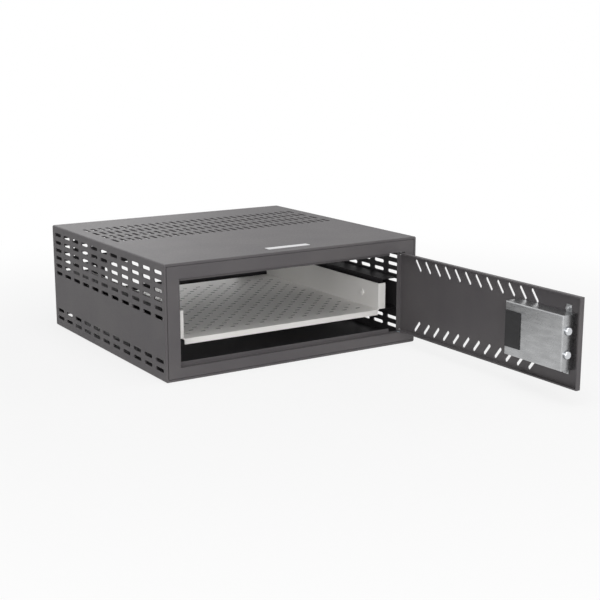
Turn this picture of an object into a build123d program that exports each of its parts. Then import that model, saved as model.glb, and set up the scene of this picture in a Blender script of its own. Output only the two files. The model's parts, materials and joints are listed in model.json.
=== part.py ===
from build123d import *
import math
import os

# Lock box for a video recorder: steel cabinet, hinged door with an electronic lock, tray on slides.
# Millimetres. +X is to the right seen from the front, +Y to the back, +Z up.
# The origin is the middle of the cabinet's base. At rest the door stands open at a right angle.

os.makedirs("parts", exist_ok=True)

# Cabinet
box_width = 465.0
box_depth = 440.0
box_height = 180.0
sheet = 2.0
shell_bend = 3.0
rim_width = 3.7
rim_bend = 1.2
rim_seam = 1.0
front_y = -box_depth / 2
back_y = box_depth / 2
inner_x = box_width / 2 - sheet

# Slots punched in the cabinet
slot_length = 27.5
slot_width = 6.0
slot_row_pitch = 13.63
side_slot_pitch = 39.5
side_slot_front = 21.0
upper_rows = 6
upper_row_inset = 14.5
lower_rows = 2
lower_row_top = 30.5
top_slot_pitch = 13.7
top_slot_margin = 26.0
top_slot_rows = 4
top_slot_row_pitch = 39.5
top_slot_back = 89.5
back_slot_pitch = 37.2
back_slot_margin = 26.0
back_low_rows = 3
back_low_pitch = 14.0
back_low_first = 14.0
window_side = 95.5
window_height = 46.0
window_over_tray = 2.0
window_corner = 4.0
anchor_radius = 5.0
anchor_inset_x = 52.5
anchor_inset_y = 70.0

# Front frame and door opening
stile_left = 24.5
stile_right = 22.5
rail_low = 20.0
rail_high = 23.5
frame_return = 12.5
stop_lip = 6.0
stop_sheet = 2.0
joggle = 2.0

# Door
door_gap = 1.5
door_depth = 9.0
door_bend = 2.5
pivot_inset_x = 4.0
pivot_inset_y = 4.5
hinge_pin_radius = 2.0
running_gap = 0.05
pin_head_radius = 2.4
pin_head = 1.5
pin_grip = 2.0
washer_radius = 4.0
washer_gap = 0.3
door_slot_length = 23.0
door_slot_width = 5.6
door_slot_angle = 52.0
door_slot_pitch = 24.56
door_slot_past_lock = 4.6
door_slot_end = 49.7
door_slot_edge = 17.0
door_open = 90.0

# Telescopic slides, measured from the outer member's outer face towards the tray
slide_front = 49.0
slide_room_behind = 41.0
slide_thickness = 12.7
member_sheet = 1.2
outer_height = 35.0
outer_reach = 9.5
middle_height = 27.4
middle_start = 2.6
middle_reach = 11.2
inner_height = 20.0
inner_start = 5.0
cage_sheet = 0.6
cage_arm = 0.8
cage_gap = 0.4
inner_cage_gap = 0.3
cage_length = 150.0
cage_past_ball = 2.5
ball_gap = 0.15
balls_in_row = 8
ball_pitch = 18.0
outer_ball_at = 5.5
inner_ball_at = 7.5
bumper_length = 20.0
bumper_lead = 9.0
bumper_height = 24.0
bumper_window = 5.0
catch_back = 30.0
catch_width = 3.0

# Brackets between the side panels and the slides
bracket_sheet = 1.5
bracket_height = 54.0
bracket_past_slide = 3.0
bracket_width = 33.0
rivet_radius = 2.0
rivet_head = 3.5
rivet_head_height = 1.5
rivet_inset = 30.0
rivet_count = 3

# Tray
tray_front = 36.0
tray_past_slide = 2.0
tray_sheet = 1.5
tray_bend = 2.5
tray_over_opening = 34.0
tray_wall_height = 45.0
tray_flange_rise = 1.0
tray_lip_drop = 9.0
tray_hole_length = 9.0
tray_hole_width = 3.5
tray_hole_pitch = 27.0
tray_hole_margin = 20.0
tray_hole_row_pitch = 14.2
tray_hole_back = 25.0
tray_hole_front = 30.0
tray_screw_radius = 2.0
tray_screw_head = 5.0
tray_screw_head_height = 2.0
cross_length = 4.0
cross_width = 1.0
cross_depth = 1.0
tray_screw_front = 47.0
tray_screw_back = 36.0

# Blank plate on the top
plate_length = 77.0
plate_width = 14.0
plate_thickness = 0.6
plate_from_front = 31.0
plate_corner = 2.0

# Lock face on the door, seen from the front; depths are counted from the door's face
lock_inset = 93.5
lock_rise = 1.75
lock_width = 98.0
lock_bulge = 5.0
lock_height = 59.5
lock_corner = 9.0
housing_depth = 6.0
cover_depth = 9.0
cover_wall = 1.6
cover_gap = 0.3
cover_edge = 2.5
cover_axis = 4.7
cover_panel_proud = 0.6
cover_panel_inset = 9.0
cover_panel_shift = -3.0
cover_panel_corner = 5.0
trunnion_radius = 1.2
trunnion_gap = 0.05
ear_width = 3.0
ear_x = 36.0
ear_neck = 2.0
ear_gap = 0.3
rib_thickness = 1.5
notch_reach = 3.2

# Keypad
key_names = ["key_1", "key_2", "key_3", "key_4", "key_5", "key_star"]
key_names += ["key_6", "key_7", "key_8", "key_9", "key_0", "key_hash"]
key_columns = 6
key_pitch_x = 11.6
key_pitch_z = 13.0
key_width = 8.8
key_tall = 9.8
key_rim = 0.7
key_gap = 0.3
key_proud = 2.2
key_flange = 1.0
key_corner = 1.5
keypad_x = 12.0
keypad_z = -2.0
keypad_sheet = 1.5
keypad_proud = 0.4
keypad_margin = 0.5
keypad_ledge = 2.0
board_thickness = 1.4
board_gap = 0.2
board_edge_gap = 0.4
lens_radius = 1.6
lens_length = 3.0
lens_proud = 0.4
lens_spacing = 8.0
lens_z = 16.0
wire_hole = 5.0
wire_hole_x = 20.0

# Override lock
cylinder_x = -37.0
cylinder_radius = 8.0
cylinder_head = 9.5
cylinder_head_height = 2.4
cylinder_gap = 0.5
cylinder_end = 22.0
plug_radius = 5.0
plug_tail = 5.0
keyway_length = 6.6
keyway_width = 1.8
keyway_depth = 16.0
cam_thickness = 2.0
cam_reach = 12.0
cam_half_width = 2.0
cam_start = -42.0
cam_turn = 75.0
cam_gap = 0.3

# Lock case behind the door; depths are counted from the door's face
case_inset = 10.5
case_width = 116.0
case_height = 80.0
case_end = 30.0
case_wall = 1.5
case_bend = 2.0
foot_size = 10.0
foot_left_inset = 16.0
foot_right_span = 56.0
stud_radius = 2.0
stud_length = 6.5
nut_width = 7.0
nut_height = 3.2
housing_screw_radius = 1.5
housing_screw_head = 2.8
housing_screw_bite = 3.0
housing_screw_x = 30.0
housing_screw_span = 48.0

# Locking bolts and their drive
bolt_radius = 6.0
bolt_depth = 20.0
bolt_tip_inset = 6.5
bolt_length = 40.0
bolt_spacing = 34.0
bolt_round = 1.5
bolt_gap = 0.3
bolt_travel = 14.0
carriage_width = 12.0
carriage_margin = 3.0
carriage_wall = 1.2
carriage_gap = 0.3
guide_rail = 4.0
guide_length = 30.0
tab_width = 3.0
tab_height = 13.0
tab_root = 8.0
tab_gap = 0.4
rack_length = 46.0
rack_height = 6.0
rack_drop = 4.0
rack_start = 5.0
rack_depth = 6.0
gear_module = 1.0
tooth_depth = 2.25
pinion_teeth = 12
gear_play = 0.25
gear_slope = math.tan(math.radians(20))
tooth_root_share = 1.7
tooth_tip_share = 0.45
tooth_thinned = 0.02
pinion_inset = 60.0
motor_width = 12.0
motor_thickness = 10.0
gearbox_length = 9.0
motor_length = 15.0
motor_drop = 2.0
shaft_radius = 1.5
cradle_height = 16.0

# Battery
battery_width = 26.5
battery_tall = 48.5
battery_thickness = 17.0
battery_gap = 0.3
battery_wall = 1.2
battery_corner = 1.5
battery_start = 9.8
battery_terminal = 3.5
battery_terminal_height = 2.0
battery_terminal_pitch = 12.5
battery_lid_sheet = 1.2
battery_lid_lap = 2.5

# Worked out from the sizes above
opening_left = -box_width / 2 + stile_left
opening_right = box_width / 2 - stile_right
opening_bottom = rail_low
opening_top = box_height - rail_high
frame_edge_x = box_width / 2 - rim_width - rim_seam
frame_edge_low = rim_width + rim_seam
frame_edge_high = box_height - rim_width - rim_seam
door_left = opening_left + door_gap
door_right = opening_right - door_gap
door_bottom = opening_bottom + door_gap
door_top = opening_top - door_gap
pivot_x = door_right - pivot_inset_x
pivot_y = front_y + pivot_inset_y
door_slot_first = opening_left + lock_inset + door_slot_past_lock
door_slot_last = opening_right - door_slot_end
slide_outer_x = inner_x - bracket_width
slide_length = box_depth - slide_front - slide_room_behind
tray_wall_x = slide_outer_x - slide_thickness
tray_length = slide_front - tray_front + slide_length + tray_past_slide
tray_floor_top = opening_bottom + tray_over_opening
tray_wall_top = tray_floor_top + tray_wall_height
tray_flange_bottom = tray_floor_top + tray_flange_rise
tray_lip_bottom = tray_floor_top - tray_lip_drop
slide_z = (tray_flange_bottom + tray_wall_top) / 2
lock_x = opening_left + lock_inset
lock_z = (opening_bottom + opening_top) / 2 + lock_rise
case_left = door_left + case_inset
case_right = case_left + case_width
foot_left_x = case_left + foot_left_inset
bolt_tip = door_left + bolt_tip_inset
pinion_x = case_left + pinion_inset


def block(x_low, x_high, y_low, y_high, z_low, z_high):
    """A box between two corners."""
    size = (x_high - x_low, y_high - y_low, z_high - z_low)
    centre = ((x_low + x_high) / 2, (y_low + y_high) / 2, (z_low + z_high) / 2)
    return Pos(*centre) * Box(*size)


def rod(radius, start, length, axis):
    """A round rod that starts at a point and runs along +X, +Y or +Z."""
    turn = {"X": Rot(0, 90, 0), "Y": Rot(-90, 0, 0), "Z": Rot(0, 0, 0)}[axis]
    bar = Cylinder(radius, length, align=(Align.CENTER, Align.CENTER, Align.MIN))
    return Pos(*start) * turn * bar


def steps(count, pitch, middle=0.0):
    """Evenly spaced places about a middle."""
    return [middle + (index - (count - 1) / 2) * pitch for index in range(count)]


def steps_across(span, pitch):
    """As many evenly spaced places about the middle as fit in a span."""
    return steps(int(span / pitch) + 1, pitch)


def slot_cutter(plane, length, width, depth, turn=0.0):
    """A round-ended slot through a sheet, cut to both sides of its plane."""
    return extrude(plane * (Rot(0, 0, turn) * SlotOverall(length, width)), depth, both=True)


def both_sides(make):
    """The left and the right copy of a piece that is drawn for the right."""
    right = make()
    return {"left": mirror(right, Plane.YZ), "right": right}


def cabinet_shell():
    """The bent sheet round the cabinet, with the narrow rim turned in at the front."""
    flat = Plane.XZ * Pos(0, box_height / 2)
    outline = flat * RectangleRounded(box_width, box_height, shell_bend)
    inner_bend = shell_bend - sheet
    room = flat * RectangleRounded(box_width - 2 * sheet, box_height - 2 * sheet, inner_bend)
    mouth = flat * Rectangle(box_width - 2 * rim_width, box_height - 2 * rim_width)
    shell = Pos(0, back_y, 0) * extrude(outline, box_depth)
    front_edges = shell.edges().filter_by_position(Axis.Y, front_y - 0.01, front_y + 0.01)
    shell = fillet(front_edges, rim_bend)
    shell -= Pos(0, back_y + 1, 0) * extrude(room, box_depth - sheet + 1)
    shell -= Pos(0, back_y + 1, 0) * extrude(mouth, box_depth + 2)
    return shell


def wall_wedge(corner_a, corner_b):
    """The mitred space that one wall of the shell keeps, from corner to corner."""
    past = 1.0
    reach = 12.0
    middle = Vector(0, box_height / 2)
    near = []
    far = []
    for x, z in (corner_a, corner_b):
        side_x = 1 if x > middle.X else -1
        side_z = 1 if z > middle.Y else -1
        near.append((x + side_x * past, z + side_z * past))
        far.append((x - side_x * reach, z - side_z * reach))
    outline = Plane.XZ * Polygon(near[0], near[1], far[1], far[0], align=None)
    return extrude(outline, box_depth, both=True)


def side_slots(x):
    """Slot cutters for one side panel."""
    rows = [box_height - upper_row_inset - row * slot_row_pitch for row in range(upper_rows)]
    rows += [lower_row_top - row * slot_row_pitch for row in range(lower_rows)]
    count = int((box_depth - 2 * side_slot_front) / side_slot_pitch) + 1
    columns = [front_y + side_slot_front + column * side_slot_pitch for column in range(count)]
    cutter = slot_cutter(Plane.YZ, slot_length, slot_width, 2 * sheet)
    return [Pos(x, y, z) * cutter for y in columns for z in rows]


def cabinet_walls():
    """Side, top and base panels, cut from the shell at its bends."""
    shell = cabinet_shell()
    half = box_width / 2
    low_left, low_right = (-half, 0), (half, 0)
    high_left, high_right = (-half, box_height), (half, box_height)
    wall_x = half - sheet / 2
    left = shell & wall_wedge(low_left, high_left)
    right = shell & wall_wedge(low_right, high_right)
    top = shell & wall_wedge(high_left, high_right)
    base = shell & wall_wedge(low_left, low_right)
    top_cutter = slot_cutter(Plane.XY, slot_length, slot_width, 2 * sheet, turn=90)
    top_rows = [back_y - top_slot_back - row * top_slot_row_pitch for row in range(top_slot_rows)]
    top_columns = steps_across(box_width - 2 * top_slot_margin, top_slot_pitch)
    top_cuts = [Pos(x, y, box_height - sheet / 2) * top_cutter for x in top_columns for y in top_rows]
    anchors = [
        rod(anchor_radius, (x, y, -1), sheet + 2, "Z")
        for x in steps(2, box_width - 2 * anchor_inset_x)
        for y in steps(2, box_depth - 2 * anchor_inset_y)
    ]
    return {
        "side_panel_left": left - side_slots(-wall_x),
        "side_panel_right": right - side_slots(wall_x),
        "top_panel": top - top_cuts,
        "base_panel": base - anchors,
    }


def back_panel():
    """The flat back, set inside the shell, with slots and the cable window."""
    width = box_width - 2 * sheet
    height = box_height - 2 * sheet
    flat = Plane.XZ * Pos(0, box_height / 2)
    panel = Pos(0, back_y, 0) * extrude(flat * RectangleRounded(width, height, shell_bend - sheet), sheet)
    window_bottom = tray_floor_top + window_over_tray
    window_top = window_bottom + window_height
    window_width = box_width - 2 * window_side
    window_z = (window_top + window_bottom) / 2
    window = Plane.XZ * Pos(0, window_z) * RectangleRounded(window_width, window_height, window_corner)
    panel -= Pos(0, back_y, 0) * extrude(window, 2 * sheet, both=True)
    cutter = slot_cutter(Plane.XZ, slot_length, slot_width, 2 * sheet)
    high_rows = [box_height - upper_row_inset - row * slot_row_pitch for row in range(upper_rows)]
    low_rows = [back_low_first + row * back_low_pitch for row in range(back_low_rows)]
    cuts = []
    for x in steps_across(box_width - 2 * back_slot_margin, back_slot_pitch):
        beside_window = abs(x) > window_width / 2 + slot_length / 2
        for z in high_rows + low_rows:
            over_window = window_bottom - slot_width < z < window_top + 2 * slot_width
            if beside_window or not over_window:
                cuts.append(Pos(x, back_y - sheet / 2, z) * cutter)
    return panel - cuts


def front_frame():
    """The frame round the door opening, with its returns and the lip that the door shuts against."""
    joggle_y = front_y + sheet + joggle
    return_y = front_y + frame_return
    frame = block(-inner_x, inner_x, front_y + sheet, joggle_y, sheet, box_height - sheet)
    frame -= block(
        rim_width - frame_edge_x,
        frame_edge_x - rim_width,
        front_y,
        joggle_y + 1,
        frame_edge_low + rim_width,
        frame_edge_high - rim_width,
    )
    frame += block(-frame_edge_x, frame_edge_x, front_y, front_y + sheet, frame_edge_low, frame_edge_high)
    frame += block(
        opening_left - sheet,
        opening_right + sheet,
        front_y,
        return_y,
        opening_bottom - sheet,
        opening_top + sheet,
    )
    stop_y = return_y - stop_sheet
    frame -= block(opening_left, opening_right, front_y - 1, stop_y, opening_bottom, opening_top)
    frame -= block(
        opening_left + stop_lip,
        opening_right,
        stop_y - 1,
        return_y + 1,
        opening_bottom + stop_lip,
        opening_top - stop_lip,
    )
    stile_room = block(
        pivot_x - 2 * door_depth, opening_right, stop_y - 1, return_y + 1, opening_bottom, opening_top
    )
    frame -= stile_room
    corner_slivers = [
        Pos(x, front_y + sheet + joggle / 2, z) * Rot(0, 45, 0) * Box(shell_bend, 2 * joggle, shell_bend)
        for x in (-inner_x, inner_x)
        for z in (sheet, box_height - sheet)
    ]
    frame -= corner_slivers
    for z in (opening_bottom - sheet - 1, opening_top - 1):
        frame -= rod(hinge_pin_radius, (pivot_x, pivot_y, z), sheet + 2, "Z")
    return frame


def hinge_pins():
    """Headed pins pressed into the frame from above and below the door."""
    reach = door_gap + sheet + pin_grip
    upper = rod(hinge_pin_radius, (pivot_x, pivot_y, opening_top - reach), reach + sheet, "Z")
    upper += rod(pin_head_radius, (pivot_x, pivot_y, opening_top + sheet), pin_head, "Z")
    lower = rod(hinge_pin_radius, (pivot_x, pivot_y, opening_bottom - sheet), reach + sheet, "Z")
    lower += rod(pin_head_radius, (pivot_x, pivot_y, opening_bottom - sheet - pin_head), pin_head, "Z")
    washer = rod(washer_radius, (pivot_x, pivot_y, opening_bottom), door_gap - washer_gap, "Z")
    eye = rod(hinge_pin_radius + running_gap, (pivot_x, pivot_y, opening_bottom - 1), sheet + door_gap, "Z")
    washer -= eye
    return {"hinge_pin_upper": upper, "hinge_pin_lower": lower, "hinge_washer": washer}


def channel(start, reach, height, wall, web_first=True):
    """A channel's section: depth runs from the outer member's back towards the tray, height is up."""
    section = Pos((start + reach) / 2, 0) * Rectangle(reach - start, height)
    if web_first:
        low, high = start + wall, reach + 1
    else:
        low, high = start - 1, reach - wall
    return section - Pos((low + high) / 2, 0) * Rectangle(high - low, height - 2 * wall)


def along_slide(section, start, length):
    """Runs a slide section from front to back, for the right-hand slide."""
    face = Plane.XZ * Pos(slide_outer_x, slide_z) * mirror(section, Plane.YZ)
    return Pos(0, front_y + start + length, 0) * extrude(face, length)


def slide_outer():
    """Outer member: a channel that opens towards the tray."""
    member = along_slide(channel(0, outer_reach, outer_height, member_sheet), slide_front, slide_length)
    return member - [rod(rivet_radius, (slide_outer_x - 2, y, slide_z), 4, "X") for y in rivet_places()]


def slide_middle():
    """Middle member: a channel inside the outer one, with a pressed catch near its front end."""
    section = channel(middle_start, middle_reach, middle_height, member_sheet)
    member = along_slide(section, slide_front, slide_length)
    catch_x = slide_outer_x - middle_start
    catch_y = front_y + slide_front + catch_back
    catch_depth = middle_start - member_sheet - cage_gap
    half = middle_height / 2 - 2 * member_sheet
    catch_end = catch_y + catch_width
    catch = block(catch_x, catch_x + catch_depth, catch_y, catch_end, slide_z - half, slide_z + half)
    return member + catch


def slide_inner():
    """Inner member: a channel that opens away from the tray, screwed to the tray's wall."""
    section = channel(inner_start, slide_thickness, inner_height, member_sheet, web_first=False)
    member = along_slide(section, slide_front, slide_length)
    holes = [rod(tray_screw_radius, (tray_wall_x - 1, y, slide_z), 4, "X") for y in tray_screw_places()]
    return member - holes


def bumper():
    """Plastic stop clipped on the front end of the middle member."""
    pad_low = slide_outer_x - middle_start
    pad_high = pad_low + middle_start - member_sheet - cage_gap
    front = front_y + slide_front - bumper_lead
    half = bumper_height / 2
    pad = block(pad_low, pad_high, front, front + bumper_length, slide_z - half, slide_z + half)
    nose_low = slide_outer_x - inner_start + cage_gap
    pad += block(nose_low, pad_low, front, front_y + slide_front, slide_z - half, slide_z + half)
    window_y = front + bumper_length / 2 + 1
    return pad - rod(bumper_window / 2, (pad_low - 4, window_y, slide_z), 8, "X")


def ball_cage(start, reach, arm_z, ball_radius, ball_at):
    """A bent strip that holds two rows of balls, with the balls in it."""
    height = 2 * arm_z + cage_arm
    section = Pos((start + reach) / 2, 0) * Rectangle(reach - start, height)
    hollow_start = start + cage_sheet
    hollow_size = (reach + 1 - hollow_start, height - 2 * cage_arm)
    hollow = Pos((hollow_start + reach + 1) / 2, 0) * Rectangle(*hollow_size)
    cage_front = slide_front + (slide_length - cage_length) / 2
    strip = along_slide(section - hollow, cage_front, cage_length)
    ball_x = slide_outer_x - ball_at
    middle = front_y + cage_front + cage_length / 2
    along = steps(balls_in_row, ball_pitch, middle)
    places = [(ball_x, y, slide_z + side * arm_z) for y in along for side in (-1, 1)]
    strip -= [Pos(*place) * Cylinder(ball_radius + ball_gap, 3 * cage_arm) for place in places]
    return Compound([strip.solid()] + [Pos(*place) * Sphere(ball_radius) for place in places])


def outer_ball_cage():
    """Cage between the outer and the middle member."""
    room = outer_height / 2 - member_sheet - middle_height / 2
    arm_z = middle_height / 2 + room / 2
    start = member_sheet + cage_gap
    return ball_cage(start, outer_ball_at + cage_past_ball, arm_z, room / 2 - ball_gap, outer_ball_at)


def inner_ball_cage():
    """Cage between the middle and the inner member."""
    room = middle_height / 2 - member_sheet - inner_height / 2
    arm_z = inner_height / 2 + room / 2
    start = middle_start + member_sheet + inner_cage_gap
    return ball_cage(start, inner_ball_at + cage_past_ball, arm_z, room / 2 - ball_gap, inner_ball_at)


def bracket():
    """Sheet bracket that carries a slide's outer member from the side panel."""
    half = bracket_height / 2
    y_low = front_y + slide_front - bracket_past_slide
    y_high = front_y + slide_front + slide_length + bracket_past_slide
    shape = block(slide_outer_x, inner_x, y_low, y_high, slide_z - half, slide_z + half)
    hollow_half = half - bracket_sheet
    shape -= block(slide_outer_x + bracket_sheet, inner_x + 1, y_low - 1, y_high + 1,
                   slide_z - hollow_half, slide_z + hollow_half)
    return shape - [rod(rivet_radius, (slide_outer_x - 1, y, slide_z), 4, "X") for y in rivet_places()]


def rivet_places():
    """Places of the rivets along the outer member."""
    middle = front_y + slide_front + slide_length / 2
    return steps(rivet_count, (slide_length - 2 * rivet_inset) / (rivet_count - 1), middle)


def tray_screw_places():
    """Places of the screws that hold the tray to the inner members."""
    front = front_y + tray_front
    return [front + tray_screw_front, front + tray_length - tray_screw_back]


def slide_rivets():
    """Rivets through the outer members and their brackets, flush inside the outer member."""
    rivets = []
    for y in rivet_places():
        start = slide_outer_x - member_sheet
        rivet = rod(rivet_radius, (start, y, slide_z), member_sheet + bracket_sheet, "X")
        rivet += rod(rivet_head, (slide_outer_x + bracket_sheet, y, slide_z), rivet_head_height, "X")
        rivets += [rivet, mirror(rivet, Plane.YZ)]
    return Compound([rivet.solid() for rivet in rivets])


def tray_screws():
    """Pan-head screws through the tray's walls into the inner members."""
    screws = []
    for y in tray_screw_places():
        head_x = tray_wall_x - tray_sheet - tray_screw_head_height
        head = rod(tray_screw_head, (head_x, y, slide_z), tray_screw_head_height, "X")
        head = fillet(head.edges().sort_by(Axis.X)[0], tray_screw_head_height * 0.6)
        wide, thin = cross_length / 2, cross_width / 2
        cross = block(head_x - 1, head_x + cross_depth, y - thin, y + thin, slide_z - wide, slide_z + wide)
        cross += block(head_x - 1, head_x + cross_depth, y - wide, y + wide, slide_z - thin, slide_z + thin)
        screw = head - cross
        shank_x = head_x + tray_screw_head_height
        screw += rod(tray_screw_radius, (shank_x, y, slide_z), tray_sheet + member_sheet, "X")
        screws += [screw, mirror(screw, Plane.YZ)]
    return Compound([screw.solid() for screw in screws])


def tray_floor():
    """Tray floor with staggered rows of short slots and a lip turned down at the front."""
    floor_x = tray_wall_x - tray_bend
    y_low = front_y + tray_front
    middle_y = y_low + tray_length / 2
    cuts = []
    widest = int((2 * tray_wall_x - 2 * tray_hole_margin) / tray_hole_pitch) + 1
    rows = int((tray_length - tray_hole_front - tray_hole_back) / tray_hole_row_pitch) + 1
    for row in range(rows):
        y = y_low + tray_hole_front + row * tray_hole_row_pitch
        columns = widest - row % 2
        for x in steps(columns, tray_hole_pitch):
            cuts.append(Pos(x, y) * SlotOverall(tray_hole_length, tray_hole_width))
    plate = Pos(0, middle_y) * Rectangle(2 * floor_x, tray_length) - cuts
    floor = Pos(0, 0, tray_floor_top - tray_sheet) * extrude(plate, tray_sheet)
    lip = block(-floor_x, floor_x, y_low, y_low + tray_sheet, tray_lip_bottom, tray_floor_top)
    floor += lip
    front_edge = floor.edges().filter_by(Axis.X).sort_by(Axis.Z)[-2:].sort_by(Axis.Y)[0]
    return fillet(front_edge, tray_sheet * 0.6)


def tray_side():
    """Right wall of the tray, with the bend at its foot and the flange turned out at its front."""
    y_low = front_y + tray_front
    y_high = y_low + tray_length
    low = tray_floor_top - tray_sheet
    outer = Plane.XZ * Pos(tray_wall_x - 3 * tray_bend, low + 3 * tray_bend) * RectangleRounded(
        6 * tray_bend, 6 * tray_bend, tray_bend
    )
    inner = Plane.XZ * Pos(tray_wall_x - tray_sheet - 3 * tray_bend, low + tray_sheet + 3 * tray_bend)
    inner = inner * RectangleRounded(6 * tray_bend, 6 * tray_bend, tray_bend - tray_sheet)
    ring = Pos(0, y_high, 0) * extrude(outer - inner, tray_length)
    bend = ring & block(tray_wall_x - tray_bend, tray_wall_x, y_low, y_high, low, low + tray_bend)
    wall = block(tray_wall_x - tray_sheet, tray_wall_x, y_low, y_high, low + tray_bend, tray_wall_top)
    flange = block(
        tray_wall_x - tray_sheet, slide_outer_x, y_low, y_low + tray_sheet, tray_flange_bottom, tray_wall_top
    )
    wall = wall + flange
    corner = wall.edges().filter_by(Axis.Z).group_by(Axis.Y)[0].sort_by(Axis.X)[0]
    wall = fillet(corner, tray_sheet * 0.6) + bend
    return wall - [rod(tray_screw_radius, (tray_wall_x - 4, y, slide_z), 6, "X") for y in tray_screw_places()]


def name_plate():
    """Blank plate on the top, near the front."""
    outline = RectangleRounded(plate_length, plate_width, plate_corner)
    return Pos(0, front_y + plate_from_front, box_height) * extrude(outline, plate_thickness)


def lock_outline(inset=0.0):
    """The lock face's outline: straight top and bottom, sides that bow out, round corners."""
    half_x = lock_width / 2 - inset
    half_z = lock_height / 2 - inset
    bow = half_x + lock_bulge
    sides = [
        Line((-half_x, half_z), (half_x, half_z)),
        ThreePointArc((half_x, half_z), (bow, 0), (half_x, -half_z)),
        Line((half_x, -half_z), (-half_x, -half_z)),
        ThreePointArc((-half_x, -half_z), (-bow, 0), (-half_x, half_z)),
    ]
    face = make_face(sides)
    return fillet(face.vertices(), lock_corner - inset)


def on_lock(outline, start, thickness):
    """Gives an outline about the lock's middle a thickness; start is its depth behind the door's face."""
    face = Plane.XZ * Pos(lock_x, lock_z) * outline
    return Pos(0, front_y + start + thickness, 0) * extrude(face, thickness)


def door_pan():
    """The door: a sheet with its four edges turned in, punched with two rows of slanted slots."""
    pan = block(door_left, door_right, front_y, front_y + door_depth, door_bottom, door_top)
    pan = fillet(pan.edges().filter_by_position(Axis.Y, front_y - 0.01, front_y + 0.01), door_bend)
    pan -= block(
        door_left + sheet,
        door_right - sheet,
        front_y + sheet,
        front_y + door_depth + 1,
        door_bottom + sheet,
        door_top - sheet,
    )
    rising = slot_cutter(Plane.XZ, door_slot_length, door_slot_width, 2 * sheet, turn=door_slot_angle)
    falling = slot_cutter(Plane.XZ, door_slot_length, door_slot_width, 2 * sheet, turn=-door_slot_angle)
    cuts = []
    for index in range(round((door_slot_last - door_slot_first) / door_slot_pitch) + 1):
        x = door_slot_first + index * door_slot_pitch
        cuts.append(Pos(x, front_y, opening_top - door_slot_edge) * rising)
        cuts.append(Pos(x, front_y, opening_bottom + door_slot_edge) * falling)
    hinge_hole = hinge_pin_radius + running_gap
    for z in (door_bottom - 1, door_top - sheet - 1):
        cuts.append(rod(hinge_hole, (pivot_x, pivot_y, z), sheet + 2, "Z"))
    through = front_y - 1
    cylinder_hole = cylinder_radius + cylinder_gap
    cuts.append(rod(cylinder_hole, (lock_x + cylinder_x, through, lock_z), sheet + 2, "Y"))
    cuts.append(rod(wire_hole, (lock_x + wire_hole_x, through, lock_z), sheet + 2, "Y"))
    for x, z in housing_screw_places():
        cuts.append(rod(housing_screw_radius, (x, through, z), sheet + 2, "Y"))
    return pan - cuts


def housing_screw_places():
    """Places of the two screws that hold the lock housing to the door."""
    return [(lock_x + housing_screw_x, z) for z in steps(2, housing_screw_span, lock_z)]


def key_window():
    """Size of the window in the housing behind the keypad plate."""
    rows = len(key_names) // key_columns
    width = (key_columns - 1) * key_pitch_x + key_width + 2 * key_rim + 2 * keypad_margin
    height = (rows - 1) * key_pitch_z + key_tall + 2 * key_rim + 2 * keypad_margin
    return width, height


def key_places():
    """Name and place of each key, from the lock's middle."""
    rows = len(key_names) // key_columns
    columns_x = steps(key_columns, key_pitch_x, keypad_x)
    rows_z = list(reversed(steps(rows, key_pitch_z, keypad_z)))
    return [(name, columns_x[i % key_columns], rows_z[i // key_columns]) for i, name in enumerate(key_names)]


def lock_housing():
    """White housing on the door: keypad window, lens holes, cylinder hole and two hinge ears."""
    width, height = key_window()
    window = Pos(keypad_x, keypad_z) * Rectangle(width, height)
    ledge = Pos(keypad_x, keypad_z) * Rectangle(width + 2 * keypad_ledge, height + 2 * keypad_ledge)
    housing = on_lock(lock_outline(), -housing_depth, housing_depth)
    housing -= on_lock(window, -housing_depth - 1, housing_depth + 2)
    housing -= on_lock(ledge, -housing_depth - 1, 1 + keypad_sheet - keypad_proud)
    housing -= on_lock(ledge, -board_thickness - board_gap, board_thickness + board_gap + 1)
    front = front_y - housing_depth - 1
    hole = cylinder_radius + cylinder_gap
    housing -= rod(hole, (lock_x + cylinder_x, front, lock_z), housing_depth + 2, "Y")
    housing -= [rod(lens_radius, (x, front, z), lens_length + 1 - lens_proud, "Y") for x, z in lens_places()]
    bite_y = front_y - housing_screw_bite
    for x, z in housing_screw_places():
        housing -= rod(housing_screw_radius, (x, bite_y, z), housing_screw_bite + 1, "Y")
    axis_y, axis_z = cover_hinge()
    eye_radius = cover_axis - cover_wall - ear_gap
    for x in (lock_x - ear_x, lock_x + ear_x):
        low = x - ear_width / 2
        eye = rod(eye_radius, (low, axis_y, axis_z), ear_width, "X")
        neck_low = axis_z - ear_neck / 2
        eye += block(low, low + ear_width, axis_y, front_y - housing_depth, neck_low, neck_low + ear_neck)
        eye -= rod(trunnion_radius + trunnion_gap, (low - 1, axis_y, axis_z), ear_width + 2, "X")
        housing += eye
    return housing


def lens_places():
    """Places of the two status lenses above the keypad."""
    return [(lock_x + keypad_x + side * lens_spacing / 2, lock_z + lens_z) for side in (-1, 1)]


def status_lenses():
    """Two small round lenses that stand slightly proud of the housing."""
    front = front_y - housing_depth - lens_proud
    return Compound([rod(lens_radius, (x, front, z), lens_length, "Y").solid() for x, z in lens_places()])


def cover_hinge():
    """Depth and height of the lock cover's hinge axis in the model's frame, door shut."""
    axis_y = front_y - housing_depth - cover_gap - cover_axis
    axis_z = lock_z + lock_height / 2 - cover_axis
    return axis_y, axis_z


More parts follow.
